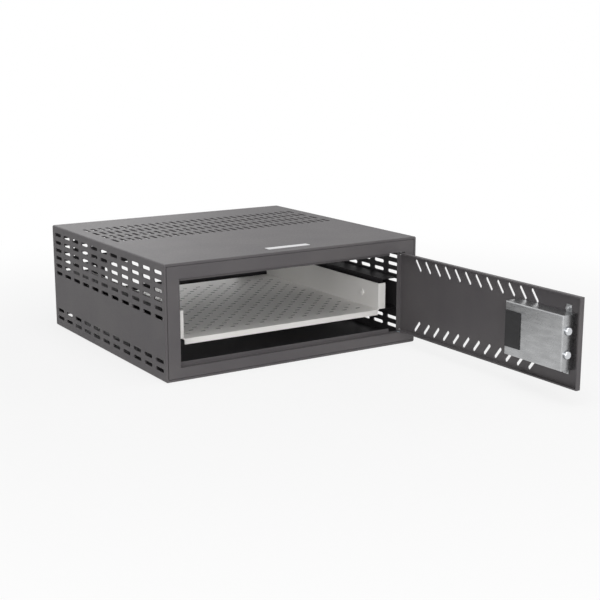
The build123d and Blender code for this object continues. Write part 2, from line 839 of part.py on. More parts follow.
def lock_cover():
    """White cover over the keypad, with a rounded back edge at its top that rolls on its hinge."""
    start = -housing_depth - cover_gap - cover_depth
    front = front_y + start
    back = front + cover_depth
    cover = on_lock(lock_outline(), start, cover_depth)
    front_edges = cover.edges().filter_by_position(Axis.Y, front - 0.01, front + 0.01)
    cover = fillet(front_edges, cover_edge)
    panel_face = Pos(cover_panel_shift, 0) * cover_panel()
    panel = on_lock(panel_face, start - cover_panel_proud, cover_panel_proud + cover_wall / 2)
    panel_edges = panel.edges().filter_by_position(Axis.Y, front - cover_panel_proud - 0.01, front - 0.3)
    cover += fillet(panel_edges, cover_panel_proud * 0.8)
    cover -= on_lock(lock_outline(cover_wall), start + cover_wall, cover_depth)
    axis_y, axis_z = cover_hinge()
    half = lock_width / 2 + lock_bulge + 1
    over_top = block(lock_x - half, lock_x + half, axis_y, back + 1, axis_z, axis_z + 2 * cover_axis)
    over_top -= rod(cover_axis, (lock_x - half - 1, axis_y, axis_z), 2 * half + 2, "X")
    cover -= over_top
    notch_half = ear_width / 2 + ear_gap
    rib_low = axis_z - trunnion_radius - 1
    rib_back = axis_y + trunnion_radius + 1
    for side in (-1, 1):
        x = lock_x + side * ear_x
        cover -= block(
            x - notch_half,
            x + notch_half,
            axis_y - notch_reach,
            back + 1,
            axis_z - ear_neck,
            axis_z + 2 * cover_axis,
        )
        near = x + side * notch_half
        far = near + side * rib_thickness
        rib_top = axis_z + cover_axis - cover_wall / 2
        cover += block(min(near, far), max(near, far), front + cover_wall / 2, rib_back, rib_low, rib_top)
        pin_start = min(far, x - side * notch_half)
        cover += rod(trunnion_radius, (pin_start, axis_y, axis_z), 2 * notch_half + rib_thickness, "X")
    return cover


def cover_panel():
    """The slightly raised field on the cover's face."""
    width = lock_width - 2 * cover_panel_inset
    height = lock_height - 2 * cover_panel_inset
    return RectangleRounded(width, height, cover_panel_corner)


def keypad_plate():
    """Dark plate in the housing, with a hole for each key."""
    width, height = key_window()
    ledge = Pos(keypad_x, keypad_z) * Rectangle(width + 2 * keypad_ledge, height + 2 * keypad_ledge)
    hole_width = key_width + 2 * key_gap
    hole_tall = key_tall + 2 * key_gap
    holes = [Pos(x, z) * RectangleRounded(hole_width, hole_tall, key_corner) for _, x, z in key_places()]
    return on_lock(ledge - holes, -housing_depth - keypad_proud, keypad_sheet)


def keys():
    """One key for each name: a cap through the plate and a flange behind it."""
    plate_back = keypad_sheet - housing_depth - keypad_proud
    cap_start = -housing_depth - keypad_proud - key_proud
    made = {}
    for name, x, z in key_places():
        flange_start = plate_back + key_gap
        cap_outline = Pos(x, z) * RectangleRounded(key_width, key_tall, key_corner)
        cap = on_lock(cap_outline, cap_start, flange_start - cap_start)
        cap_front = front_y + cap_start
        cap = fillet(cap.edges().filter_by_position(Axis.Y, cap_front - 0.01, cap_front + 0.01), key_rim)
        rim = Rectangle(key_width + 2 * key_rim, key_tall + 2 * key_rim)
        made[name] = cap + on_lock(Pos(x, z) * rim, flange_start, key_flange)
    return made


def circuit_board():
    """Board behind the keys, seated in the housing's back."""
    width, height = key_window()
    board_width = width + 2 * keypad_ledge - board_edge_gap
    board_height = height + 2 * keypad_ledge - board_edge_gap
    board = Pos(keypad_x, keypad_z) * Rectangle(board_width, board_height)
    return on_lock(board, -board_thickness - board_gap, board_thickness)


def key_cylinder():
    """Body of the override lock: a flanged sleeve through housing and door."""
    x = lock_x + cylinder_x
    start = front_y - housing_depth - cylinder_head_height
    length = housing_depth + cylinder_head_height + cylinder_end
    body = rod(cylinder_radius, (x, start, lock_z), length, "Y")
    head = rod(cylinder_head, (x, start, lock_z), cylinder_head_height, "Y")
    head = fillet(head.edges().sort_by(Axis.Y)[0], cylinder_head_height / 3)
    return body + head - rod(plug_radius + running_gap, (x, start - 1, lock_z), length + 2, "Y")


def key_plug():
    """Turning plug of the override lock, with its keyway and a square tail for the cam."""
    x = lock_x + cylinder_x
    start = front_y - housing_depth - cylinder_head_height
    end = front_y + cylinder_end
    plug = rod(plug_radius, (x, start, lock_z), end - start, "Y")
    half = keyway_width / 2
    plug -= block(x - half, x + half, start - 1, start + keyway_depth, lock_z - keyway_length / 2,
                  lock_z + keyway_length / 2)
    tail = plug_tail / 2
    tail_end = end + cam_gap + cam_thickness
    return plug + block(x - tail, x + tail, end, tail_end, lock_z - tail, lock_z + tail)


def override_cam():
    """Arm on the plug's tail that pushes the bolt carriage back when the key turns."""
    x = lock_x + cylinder_x
    start = front_y + cylinder_end + cam_gap
    hub = rod(plug_radius, (x, start, lock_z), cam_thickness, "Y")
    half = cam_half_width
    arm = block(x - half, x + half, start, start + cam_thickness, lock_z - cam_reach, lock_z)
    arm += rod(half, (x, start, lock_z - cam_reach), cam_thickness, "Y")
    about = Axis((x, start, lock_z), (0, 1, 0))
    arm = arm.rotate(about, -cam_start)
    tail = plug_tail / 2
    square = block(x - tail, x + tail, start - 1, start + cam_thickness + 1, lock_z - tail, lock_z + tail)
    return hub + arm - square


def lock_case():
    """Sheet case behind the door, open to the door, with feet, bolt holes and guide rails."""
    low = lock_z - case_height / 2
    high = lock_z + case_height / 2
    face = front_y + sheet
    back = front_y + case_end
    case = block(case_left, case_right, face, back, low, high)
    case = fillet(case.edges().filter_by_position(Axis.Y, back - 0.01, back + 0.01), case_bend)
    case -= block(
        case_left + case_wall,
        case_right - case_wall,
        face - 1,
        back - case_wall,
        low + case_wall,
        high - case_wall,
    )
    for z in steps(2, bolt_spacing, lock_z):
        hole = rod(bolt_radius + bolt_gap, (case_left - 1, front_y + bolt_depth, z), case_wall + 2, "X")
        case -= hole
        rail_y = front_y + bolt_depth + bolt_radius + carriage_wall + carriage_gap
        rail_x = bolt_tip + bolt_length - carriage_width - bolt_travel
        rail_low = z - guide_rail / 2
        rail_end = back - case_wall / 2
        case += block(rail_x, rail_x + guide_length, rail_y, rail_end, rail_low, rail_low + guide_rail)
    motor_low, motor_y = motor_place()
    cradle_y = motor_y + motor_thickness / 2
    half = motor_width / 2
    cradle_low = motor_low + motor_length + gearbox_length - cradle_height
    cradle_high = cradle_low + cradle_height
    cradle_end = back - case_wall / 2
    case += block(pinion_x - half, pinion_x + half, cradle_y, cradle_end, cradle_low, cradle_high)
    for x, z in foot_places():
        half = foot_size / 2
        case += block(x - half, x + half, face, face + case_wall, z - half, z + half)
    for x, z in foot_places():
        case -= rod(stud_radius + bolt_gap, (x, face - 1, z), case_wall + 2, "Y")
    lid_x_low, lid_x_high, lid_low, lid_high = battery_room()
    case -= block(lid_x_low, lid_x_high, back - 2 * case_wall, back + 1, lid_low, lid_high)
    return case


def foot_places():
    """Middles of the four feet of the lock case."""
    left = [(foot_left_x, z) for z in steps(2, case_height + foot_size, lock_z)]
    right = [(case_right + foot_size / 2, z) for z in steps(2, foot_right_span, lock_z)]
    return left + right


def battery_room():
    """Space for the battery in its holder: left, right, bottom and top."""
    right = case_right - case_wall - battery_gap - battery_wall
    left = right - battery_width - 2 * battery_gap
    half = battery_tall / 2 + battery_gap
    return left, right, lock_z - half, lock_z + half


def battery_holder():
    """Tray that holds the battery in the lock case, open to the battery cover."""
    left, right, low, high = battery_room()
    wall = battery_wall
    start = front_y + battery_start
    end = front_y + case_end - case_wall
    holder = block(left - wall, right + wall, start, end, low - wall, high + wall)
    return holder - block(left, right, start + wall, end + 1, low, high)


def battery():
    """Block battery with its two snap terminals at the top."""
    left, right, low, high = battery_room()
    start = front_y + battery_start + battery_wall + battery_gap / 2
    top = high - battery_gap - battery_terminal_height
    end = start + battery_thickness
    body = block(left + battery_gap, right - battery_gap, start, end, low + battery_gap, top)
    body = fillet(body.edges().filter_by(Axis.Z), battery_corner)
    middle = (left + right) / 2
    depth = start + battery_thickness / 2
    terminals = [
        rod(battery_terminal, (x, depth, top), battery_terminal_height, "Z")
        for x in steps(2, battery_terminal_pitch, middle)
    ]
    return body + terminals


def battery_cover():
    """Cover over the battery, on the back of the lock case, with a lip that fits its opening."""
    left, right, low, high = battery_room()
    back = front_y + case_end
    lap = battery_lid_lap
    cover = block(left - lap, right + battery_wall, back, back + battery_lid_sheet, low - lap, high + lap)
    plug_gap = battery_gap
    lip = block(
        left + plug_gap, right - plug_gap, back - case_wall, back, low + plug_gap, high - plug_gap
    )
    lip -= block(
        left + 2 * battery_wall, right - 2 * battery_wall, back - 2 * case_wall, back, low + 2 * battery_wall,
        high - 2 * battery_wall
    )
    return cover + lip


def door_fixings():
    """Studs and nuts that hold the lock case, and the two screws that hold the lock housing."""
    face = front_y + sheet
    pieces = []
    for x, z in foot_places():
        pieces.append(rod(stud_radius, (x, face, z), stud_length, "Y").solid())
        outline = RegularPolygon(nut_width / 2, 6, major_radius=False)
        nut_face = Plane.XZ * Pos(x, z) * outline
        nut_start = face + case_wall
        nut = Pos(0, nut_start + nut_height, 0) * extrude(nut_face, nut_height)
        nut -= rod(stud_radius, (x, nut_start - 1, z), nut_height + 2, "Y")
        pieces.append(nut.solid())
    for x, z in housing_screw_places():
        bite_y = front_y - housing_screw_bite
        screw = rod(housing_screw_radius, (x, bite_y, z), housing_screw_bite + sheet, "Y")
        screw += rod(housing_screw_head, (x, face, z), sheet, "Y")
        pieces.append(screw.solid())
    return Compound(pieces)


def locking_bolts():
    """Two round steel bolts with rounded ends."""
    bolts = []
    for z in steps(2, bolt_spacing, lock_z):
        bolt = rod(bolt_radius, (bolt_tip, front_y + bolt_depth, z), bolt_length, "X")
        bolts.append(fillet(bolt.edges().sort_by(Axis.X)[0], bolt_round).solid())
    return Compound(bolts)


def tooth_gap(depth):
    """Outline of the gap between two teeth of the rack, opening upwards from its root."""
    tip = math.pi * gear_module / 4 + gear_slope * gear_module
    root = tip - depth * gear_slope
    return [(-root, -depth), (root, -depth), (tip, 0), (-tip, 0)]


def bolt_carriage():
    """Carriage on the two bolts, with the rack that the motor drives and the tab that the cam pushes."""
    right = bolt_tip + bolt_length
    left = right - carriage_width
    half = bolt_spacing / 2 + bolt_radius + carriage_margin
    back = front_y + bolt_depth + bolt_radius + carriage_wall
    start = front_y + rack_start
    carriage = block(left, right, start, back, lock_z - half, lock_z + half)
    for z in steps(2, bolt_spacing, lock_z):
        carriage -= rod(bolt_radius, (left - 1, front_y + bolt_depth, z), carriage_width + 2, "X")
    rack_top = lock_z + half - rack_drop
    rack_face = start + rack_depth
    carriage += block(right - 1, right + rack_length, start, rack_face, rack_top - rack_height, rack_top)
    depth = tooth_depth * gear_module
    outline = Plane.XY * Polygon(*tooth_gap(depth), align=None)
    gap = extrude(outline, rack_height + 2)
    pitch = math.pi * gear_module
    gaps = []
    tooth = 0
    while pinion_x + tooth * pitch < right + rack_length - pitch / 2:
        gaps.append(tooth)
        tooth += 1
    tooth = -1
    while pinion_x + tooth * pitch > right + pitch:
        gaps.append(tooth)
        tooth -= 1
    carriage -= [Pos(pinion_x + tooth * pitch, rack_face, rack_top - rack_height - 1) * gap for tooth in gaps]
    reach = cam_reach * math.sin(math.radians(cam_start + cam_turn)) + cam_half_width + tab_gap
    tab_x = lock_x + cylinder_x + reach
    cam_front = front_y + cylinder_end + cam_gap
    cam_back = cam_front + cam_thickness
    lower_bolt_z = lock_z - bolt_spacing / 2
    upper_bolt_z = lock_z + bolt_spacing / 2
    root_low = lower_bolt_z - bolt_radius
    arm_end = tab_x + tab_width
    carriage += block(right, arm_end, cam_back + cam_gap, back, root_low, root_low + tab_root)
    carriage += block(tab_x, arm_end, cam_front, back, root_low, root_low + tab_height)
    low = lower_bolt_z + bolt_radius
    high = upper_bolt_z - bolt_radius
    return carriage - block(left - 1, right, cam_front - cam_gap, back + 1, low, high)


def pinion_centre_y():
    """Depth of the pinion's axis: in mesh with the rack, with a little play."""
    pitch_radius = gear_module * pinion_teeth / 2
    return front_y + rack_start + rack_depth - gear_module + pitch_radius + gear_play


def motor_place():
    """Bottom of the motor and depth of its axis."""
    half = bolt_spacing / 2 + bolt_radius + carriage_margin
    rack_low = lock_z + half - rack_drop - rack_height
    return rack_low - motor_drop - gearbox_length - motor_length, pinion_centre_y()


def drive_pinion():
    """Twelve-tooth pinion on the motor's shaft, one tooth pointing into the rack's middle gap."""
    pitch_radius = gear_module * pinion_teeth / 2
    outer = pitch_radius + gear_module
    root = outer - tooth_depth * gear_module
    half_angle = math.pi / (2 * pinion_teeth) - tooth_thinned
    foot_angle = tooth_root_share * half_angle
    flank = [
        (root * math.sin(foot_angle), root * math.cos(foot_angle)),
        (pitch_radius * math.sin(half_angle), pitch_radius),
        (outer * math.sin(tooth_tip_share * half_angle), outer),
    ]
    tooth = [(0, 0)] + flank + [(-x, y) for x, y in reversed(flank)]
    face = Circle(root)
    for index in range(pinion_teeth):
        face += Rot(0, 0, 180 + index * 360 / pinion_teeth) * Polygon(*tooth, align=None)
    face -= Circle(shaft_radius)
    motor_low, centre_y = motor_place()
    rack_low = motor_low + motor_length + gearbox_length + motor_drop
    return Pos(pinion_x, centre_y, rack_low) * extrude(face, rack_height)


def lock_motor():
    """Small geared motor that stands below the pinion, its shaft in the pinion's bore."""
    low, centre_y = motor_place()
    half_x = motor_width / 2
    half_y = motor_thickness / 2
    gearbox_low = low + motor_length
    gearbox_high = gearbox_low + gearbox_length
    gearbox = block(
        pinion_x - half_x, pinion_x + half_x, centre_y - half_y, centre_y + half_y, gearbox_low, gearbox_high
    )
    can = rod(half_x, (pinion_x, centre_y, low), motor_length, "Z")
    can &= block(pinion_x - half_x, pinion_x + half_x, centre_y - half_y, centre_y + half_y, low, gearbox_low)
    shaft = rod(shaft_radius - running_gap, (pinion_x, centre_y, gearbox_high), motor_drop + rack_height, "Z")
    return gearbox + can + shaft


def swing_open(piece):
    """Turns a piece of the shut door about the hinge pins into the resting place of the open door."""
    return piece.rotate(Axis((pivot_x, pivot_y, 0), (0, 0, 1)), door_open)


def door_pieces():
    """Every piece that the door carries, drawn with the door shut."""
    made = {
        "door_pan": door_pan(),
        "lock_housing": lock_housing(),
        "lock_cover": lock_cover(),
        "keypad_plate": keypad_plate(),
        "circuit_board": circuit_board(),
        "status_lenses": status_lenses(),
        "key_cylinder": key_cylinder(),
        "key_plug": key_plug(),
        "override_cam": override_cam(),
        "lock_case": lock_case(),
        "battery_holder": battery_holder(),
        "battery": battery(),
        "battery_cover": battery_cover(),
        "door_fixings": door_fixings(),
        "locking_bolts": locking_bolts(),
        "bolt_carriage": bolt_carriage(),
        "drive_pinion": drive_pinion(),
        "lock_motor": lock_motor(),
    }
    made.update(keys())
    return made


def slide_pieces():
    """Brackets, slide members, cages and bumpers of both sides."""
    makers = {
        "slide_bracket": bracket,
        "slide_outer": slide_outer,
        "slide_middle": slide_middle,
        "slide_inner": slide_inner,
        "slide_bumper": bumper,
        "ball_cage_outer": outer_ball_cage,
        "ball_cage_inner": inner_ball_cage,
        "tray_side": tray_side,
    }
    made = {}
    for name, make in makers.items():
        for side, piece in both_sides(make).items():
            made[name + "_" + side] = piece
    return made


pieces = cabinet_walls()
pieces["back_panel"] = back_panel()
pieces["front_frame"] = front_frame()
pieces.update(hinge_pins())
pieces["name_plate"] = name_plate()
pieces.update(slide_pieces())
pieces["slide_rivets"] = slide_rivets()
pieces["tray_floor"] = tray_floor()
pieces["tray_screws"] = tray_screws()
for name, piece in door_pieces().items():
    pieces[name] = swing_open(piece)

for name, piece in pieces.items():
    export_step(piece, f"parts/{name}.step")

print(len(pieces), "pieces written")
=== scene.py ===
# %% [markdown]
# This lesson dresses a steel lock box for a video recorder. Its pieces come from a CAD model, at
# their real size and in metres, and here they get their paint, plating and plastic. They could be
# imported by hand and moved into place, but then a new piece might miss the one that carries it. So
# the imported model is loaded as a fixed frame: nothing in it is moved or resized, and every new piece
# is placed from the box of its carrier.

# %% Load the frame
import bmesh
import bpy
import json
import math
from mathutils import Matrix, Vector


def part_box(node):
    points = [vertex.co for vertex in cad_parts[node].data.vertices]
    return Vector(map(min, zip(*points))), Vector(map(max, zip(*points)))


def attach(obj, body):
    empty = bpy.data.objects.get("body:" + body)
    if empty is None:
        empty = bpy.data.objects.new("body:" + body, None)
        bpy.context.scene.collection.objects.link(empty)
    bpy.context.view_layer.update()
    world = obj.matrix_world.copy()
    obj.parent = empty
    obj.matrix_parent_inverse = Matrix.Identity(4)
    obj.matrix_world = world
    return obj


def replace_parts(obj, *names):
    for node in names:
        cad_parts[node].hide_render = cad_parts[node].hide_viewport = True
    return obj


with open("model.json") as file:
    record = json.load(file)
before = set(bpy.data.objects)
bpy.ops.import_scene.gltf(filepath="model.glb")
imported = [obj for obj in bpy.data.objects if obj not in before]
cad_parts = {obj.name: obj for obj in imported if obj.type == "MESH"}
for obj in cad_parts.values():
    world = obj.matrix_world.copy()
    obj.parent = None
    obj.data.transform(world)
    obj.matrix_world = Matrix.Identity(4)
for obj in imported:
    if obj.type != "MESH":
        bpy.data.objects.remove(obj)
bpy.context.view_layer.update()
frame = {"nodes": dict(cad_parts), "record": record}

# %% [markdown]
# The photograph was taken from the front left, a little above the box. The camera stands where the
# photographer's camera stood, counted from the middle of the box's foot. It could be turned by three
# angles, but a point to look at is easier to choose and to read, so it looks at one near the middle of
# the box with its open door. A longer lens then fills the picture, as a tighter crop would.

# %% Camera
camera_place = Vector((-0.977, -1.752, 0.504))
aim_point = Vector((0.045, -0.155, 0.082))
lens_mm = 71.0

camera_data = bpy.data.cameras.new("camera")
camera_data.lens = lens_mm
camera = bpy.data.objects.new("camera", camera_data)
bpy.context.scene.collection.objects.link(camera)
camera.location = camera_place
camera.rotation_mode = "QUATERNION"
camera.rotation_quaternion = (aim_point - camera_place).to_track_quat("-Z", "Y")
bpy.context.scene.camera = camera
bpy.context.scene.view_settings.view_transform = "Standard"
print("camera", round((camera_place - aim_point).length, 3), "m away")

# %% [markdown]
# Colours are written as they look on a screen, as hex values, because nobody can read a colour from
# linear numbers. Shaders work in linear light all the same, so one function turns the first into the
# second.

# %% Colours
def linear(hex_colour):
    """An sRGB hex value as the linear colour that a shader needs."""
    channels = [int(hex_colour[start:start + 2], 16) / 255 for start in (1, 3, 5)]
    return [c / 12.92 if c <= 0.04045 else ((c + 0.055) / 1.055) ** 2.4 for c in channels] + [1.0]


print("a middle grey is", round(linear("#808080")[0], 3), "in linear light")

# %% [markdown]
# A finish is a small graph of nodes. Wiring one by hand takes a line for each setting, value and link.
# Here one function adds a node with all three, so that a material reads from top to bottom. What is the
# same all over a surface is set on the main shader itself, and what a pattern drives is fed to it.
#
# The Mix node has sockets for numbers, vectors and colours under the same names. Its colour sockets can
# only be told apart by their numbers, which get names here.

# %% Nodes
mix_plain = 6
mix_masked = 7
mix_result = 2


def add_node(material, kind, values=None, links=None, **settings):
    """Adds one node: settings are its own choices, values fill sockets, links join them to others."""
    made = material.node_tree.nodes.new(kind)
    for name, value in settings.items():
        setattr(made, name, value)
    for socket, value in (values or {}).items():
        made.inputs[socket].default_value = value
    for socket, source in (links or {}).items():
        material.node_tree.links.new(source, made.inputs[socket])
    return made


def new_finish(name, values):
    """A material whose main shader has these fixed values."""
    material = bpy.data.materials.new(name)
    material.use_nodes = True
    shader = material.node_tree.nodes["Principled BSDF"]
    for socket, value in values.items():
        shader.inputs[socket].default_value = value
    return material


def feed(material, socket, source):
    """Lets a pattern drive one socket of a material's main shader."""
    shader = material.node_tree.nodes["Principled BSDF"]
    material.node_tree.links.new(source, shader.inputs[socket])


# %% [markdown]
# Patterns have to stay with the metal when a door or a tray moves. A UV map would do that, but would
# have to be unfolded and measured for each piece. Object coordinates do it too: each piece carries its
# own, in metres, so a pattern's scale is simply one over its real size.
#
# Most finishes have a grain of fine bumps. Real relief would take millions of faces, and bumps of a few
# hundredths of a millimetre never show in an outline, so a Bump node bends the light alone. No real
# edge is knife sharp either, so the grain sits on a normal that a Bevel node rounds off over a third of
# a millimetre.

# %% Grain
even = (1.0, 1.0, 1.0)
edge_radius_mm = 0.35
edge_samples = 4


def per_metre(pattern_mm):
    """The scale of a pattern, in repeats for each metre, from its size in millimetres."""
    return 1000.0 / pattern_mm


def surface_place(material, stretch):
    """Object coordinates, stretched along an axis where a pattern has a direction."""
    place = add_node(material, "ShaderNodeTexCoord")
    scaled = add_node(
        material, "ShaderNodeMapping", {"Scale": stretch}, {"Vector": place.outputs["Object"]}
    )
    return scaled.outputs["Vector"]


def grain(material, size_mm, depth_mm, strength, stretch=even):
    """Fine bumps of one size all over, on softened edges; returns their pattern."""
    softened = add_node(
        material, "ShaderNodeBevel", {"Radius": edge_radius_mm / 1000}, samples=edge_samples
    )
    bumps = add_node(
        material, "ShaderNodeTexNoise", {"Scale": per_metre(size_mm), "Detail": 2.0, "Roughness": 0.5},
        {"Vector": surface_place(material, stretch)}
    )
    relief = add_node(
        material, "ShaderNodeBump", {"Strength": strength, "Distance": depth_mm / 1000},
        {"Height": bumps.outputs["Fac"], "Normal": softened.outputs["Normal"]}
    )
    feed(material, "Normal", relief.outputs["Normal"])
    return bumps.outputs["Fac"]


# %% [markdown]
# No coat or plate has one colour all over. A colour that wanders between two close shades could be
# painted by hand, but a noise pattern gives the same from two hex values and a size. The sheen wanders
# as well: where the grain stands high the surface is rubbed or flows thin, so the roughness follows
# the grain's pattern. A noise pattern hardly leaves the range from 0.3 to 0.7.

# %% Shades and sheen
noise_low = 0.3
noise_high = 0.7


def drift(material, colours, size_mm, detail=3.0, stretch=even, stops=(0.35, 0.65)):
    """A colour that wanders between two close shades over patches of one size."""
    patches = add_node(
        material, "ShaderNodeTexNoise", {"Scale": per_metre(size_mm), "Detail": detail},
        {"Vector": surface_place(material, stretch)}
    )
    ramp = add_node(material, "ShaderNodeValToRGB", links={"Fac": patches.outputs["Fac"]})
    for stop, position, colour in zip(ramp.color_ramp.elements, stops, colours):
        stop.position = position
        stop.color = linear(colour)
    return ramp.outputs["Color"]


def vary_roughness(material, pattern, smooth, rough):
    """Lets a pattern move the roughness between two values."""
    spread = add_node(
        material, "ShaderNodeMapRange",
        {"From Min": noise_low, "From Max": noise_high, "To Min": smooth, "To Max": rough},
        {"Value": pattern}
    )
    feed(material, "Roughness", spread.outputs["Result"])


# %% [markdown]
# The cabinet and its door are mild steel sheet under a polyester powder coat, sprayed dry and baked.
# The powder melts into a skin that is not quite flat: an orange peel of bumps about 1 mm across, which
# breaks the reflection of a lamp into a soft satin sheen. The peel is drawn 1.6 mm wide here, because a
# finer one would vanish in the picture.
#
# Along bends and punched edges a paler shade is painted in: a painted highlight where those lines would
# catch a little more light. They could be picked out face by face. A comparison is less work and finds them
# all: the true normal and one that a Bevel node rounds off differ only beside an edge.

# %% Graphite powder coat
dark_peel = {"size_mm": 1.6, "depth_mm": 0.05, "strength": 0.22}
highlight_samples = 6
flat_likeness = 0.97
edge_likeness = 0.80


def powder_coat(name, shades, peel, ior, patch_mm, smooth, rough):
    """Powder coat with its orange peel; returns the material and its wandering colour."""
    material = new_finish(name, {"IOR": ior})
    vary_roughness(material, grain(material, **peel), smooth, rough)
    return material, drift(material, shades, size_mm=patch_mm)


def painted_edge_highlight(material, colour, highlight_colour, radius_mm):
    """A coat's colour, with a paler shade painted in beside an edge as a painted highlight."""
    rounded = add_node(material, "ShaderNodeBevel", {"Radius": radius_mm / 1000}, samples=highlight_samples)
    true = add_node(material, "ShaderNodeNewGeometry")
    likeness = add_node(
        material, "ShaderNodeVectorMath", operation="DOT_PRODUCT",
        links={0: rounded.outputs["Normal"], 1: true.outputs["Normal"]}
    )
    highlight_mask = add_node(
        material, "ShaderNodeMapRange", {"From Min": flat_likeness, "From Max": edge_likeness},
        {"Value": likeness.outputs["Value"]}
    )
    return add_node(
        material, "ShaderNodeMix", {mix_masked: linear(highlight_colour)},
        {"Factor": highlight_mask.outputs["Result"], mix_plain: colour}, data_type="RGBA"
    ).outputs[mix_result]


coat, coat_shades = powder_coat(
    "powder_coated_steel_graphite", ("#555254", "#5c595a"), dark_peel, ior=1.4, patch_mm=90.0,
    smooth=0.48, rough=0.58
)
# Painted highlight: a paler grey along the coat's bends and punched edges.
highlighted_coat_colour = painted_edge_highlight(coat, coat_shades, "#6d6a6c", radius_mm=0.7)
print("coat", coat.name)

# %% [markdown]
# Two patches of painted shade depend on the place in a piece. A second material would do, but somebody would
# have to pick its faces in each mesh. A mask finds them by place instead: one comparison along each axis,
# and their product is one inside a box and nought outside.

# %% A mask by place
def inside_box(material, place, low, high, axes="XYZ"):
    """One where a place lies between two corners along each axis named, and nought elsewhere."""
    parts = add_node(material, "ShaderNodeSeparateXYZ", links={"Vector": place})
    mask = None
    for axis, start, end in zip(axes, low, high):
        between = add_node(
            material, "ShaderNodeMath", {1: (start + end) / 2, 2: (end - start) / 2},
            {0: parts.outputs[axis]}, operation="COMPARE"
        )
        if mask:
            between = add_node(
                material, "ShaderNodeMath", links={0: mask.outputs[0], 1: between.outputs[0]},
                operation="MULTIPLY"
            )
        mask = between
    return mask.outputs[0]


# %% [markdown]
# The inside of the cabinet is painted a darker grey, as painted shade in the box's recess. A face belongs to
# the inside where a point 2 mm in front of it lies between the inner faces of the walls. Slots keep the
# outer colour, as their walls face along the sheet, and so does the frame, because the inside starts 15 mm
# behind the front.

# %% Painted shade inside the cabinet
probe_reach = 0.002
behind_front = 0.015

back_low, back_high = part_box("back_panel")
inner_low = Vector((back_low.x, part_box("side_panel_left")[0].y + behind_front, back_low.z))
inner_high = Vector((back_high.x, back_low.y, back_high.z))
coat_place = add_node(coat, "ShaderNodeTexCoord")
coat_facing = add_node(coat, "ShaderNodeNewGeometry")
probe = add_node(
    coat, "ShaderNodeVectorMath", {1: (probe_reach, probe_reach, probe_reach)},
    {0: coat_facing.outputs["True Normal"], 2: coat_place.outputs["Object"]}, operation="MULTIPLY_ADD"
)
shade_in_cabinet = inside_box(coat, probe.outputs["Vector"], inner_low, inner_high)
# Painted shade: faces inside the cabinet are mixed to a darker grey.
cabinet_shaded_colour = add_node(
    coat, "ShaderNodeMix", {mix_masked: linear("#3b393b")}, {"Factor": shade_in_cabinet, mix_plain: highlighted_coat_colour},
    data_type="RGBA"
)
feed(coat, "Base Color", cabinet_shaded_colour.outputs[mix_result])
print("inside", [round(1000 * size) for size in inner_high - inner_low], "mm")

# %% [markdown]
# The brackets that carry the slides are sprayed before they go in, in a plain black of the same kind.
# They are hardly seen, so they get the peel and the two shades, and no edges.

# %% Black powder coat
black_coat, black_shades = powder_coat(
    "powder_coated_steel_black", ("#282628", "#2e2c2e"), dark_peel, ior=1.45, patch_mm=60.0,
    smooth=0.5, rough=0.6
)
feed(black_coat, "Base Color", black_shades)
print("coat", black_coat.name)

# %% [markdown]
# The tray is the same kind of sheet under a pale warm grey coat. On a light colour the orange peel
# hardly shows, and what the eye finds instead is a faint bloom: patches that are a touch warmer.

# %% Pale powder coat
pale_tones = ("#f0eeea", "#f5f3f0")
pale_peel = {"size_mm": 1.8, "depth_mm": 0.04, "strength": 0.16}
pale_look = {"peel": pale_peel, "ior": 1.5, "patch_mm": 120.0, "smooth": 0.38, "rough": 0.48}

pale_coat, pale_shades = powder_coat("powder_coated_steel_pale_grey", pale_tones, **pale_look)
# Painted highlight: a paler grey along the tray coat's edges.
feed(pale_coat, "Base Color", painted_edge_highlight(pale_coat, pale_shades, "#f8f7f5", radius_mm=0.6))
print("coat", pale_coat.name)

# %% [markdown]
# The tray's floor is punched all over before it is coated. The walls of each hole are painted a dark grey,
# as painted shade inside the hole, so each hole reads as a dark dash from any side. The walls are found by
# shape alone: they are the upright faces that lie inside the floor's outer edges.

# %% Pale powder coat with painted shade in the punched holes
upright_limit = 0.5
edge_inset = Vector((0.008, 0.008, 0.0))

punched_coat, punched_shades = powder_coat("powder_coated_steel_punched", pale_tones, **pale_look)
sheet_low, sheet_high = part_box("tray_floor")
punched_place = add_node(punched_coat, "ShaderNodeTexCoord")
punched_facing = add_node(punched_coat, "ShaderNodeNewGeometry")
facing_up = add_node(
    punched_coat, "ShaderNodeSeparateXYZ", links={"Vector": punched_facing.outputs["True Normal"]}
)
upright = add_node(
    punched_coat, "ShaderNodeMath", {1: 0.0, 2: upright_limit}, {0: facing_up.outputs["Z"]},
    operation="COMPARE"
)
off_edges = inside_box(
    punched_coat, punched_place.outputs["Object"], sheet_low + edge_inset, sheet_high - edge_inset, "XY"
)
shaded_hole_walls = add_node(
    punched_coat, "ShaderNodeMath", links={0: upright.outputs[0], 1: off_edges}, operation="MULTIPLY"
)
# Painted shade: the walls of the punched holes are mixed to a dark grey.
punched_shaded_colour = add_node(
    punched_coat, "ShaderNodeMix", {mix_masked: linear("#6f6d6a")},
    {"Factor": shaded_hole_walls.outputs[0], mix_plain: punched_shades}, data_type="RGBA"
)
feed(punched_coat, "Base Color", punched_shaded_colour.outputs[mix_result])
print("coat", punched_coat.name)

# %% [markdown]
# Slides, nuts and the lock case are bright zinc plate on rolled strip. The strip keeps fine rolling
# lines along its length, and the plating sets in cloudy grains a few millimetres across. So the
# roughness follows long streaks, and the colour follows the clouds, between two greys that are hardly
# apart.
#
# Four shades of it are needed. The lock case and small parts are as they left the bath. The outer members,
# which never come out of the cabinet, are given a near-black zinc colour. The middle and inner members are
# greased and carry painted shade, and have cells of their own.

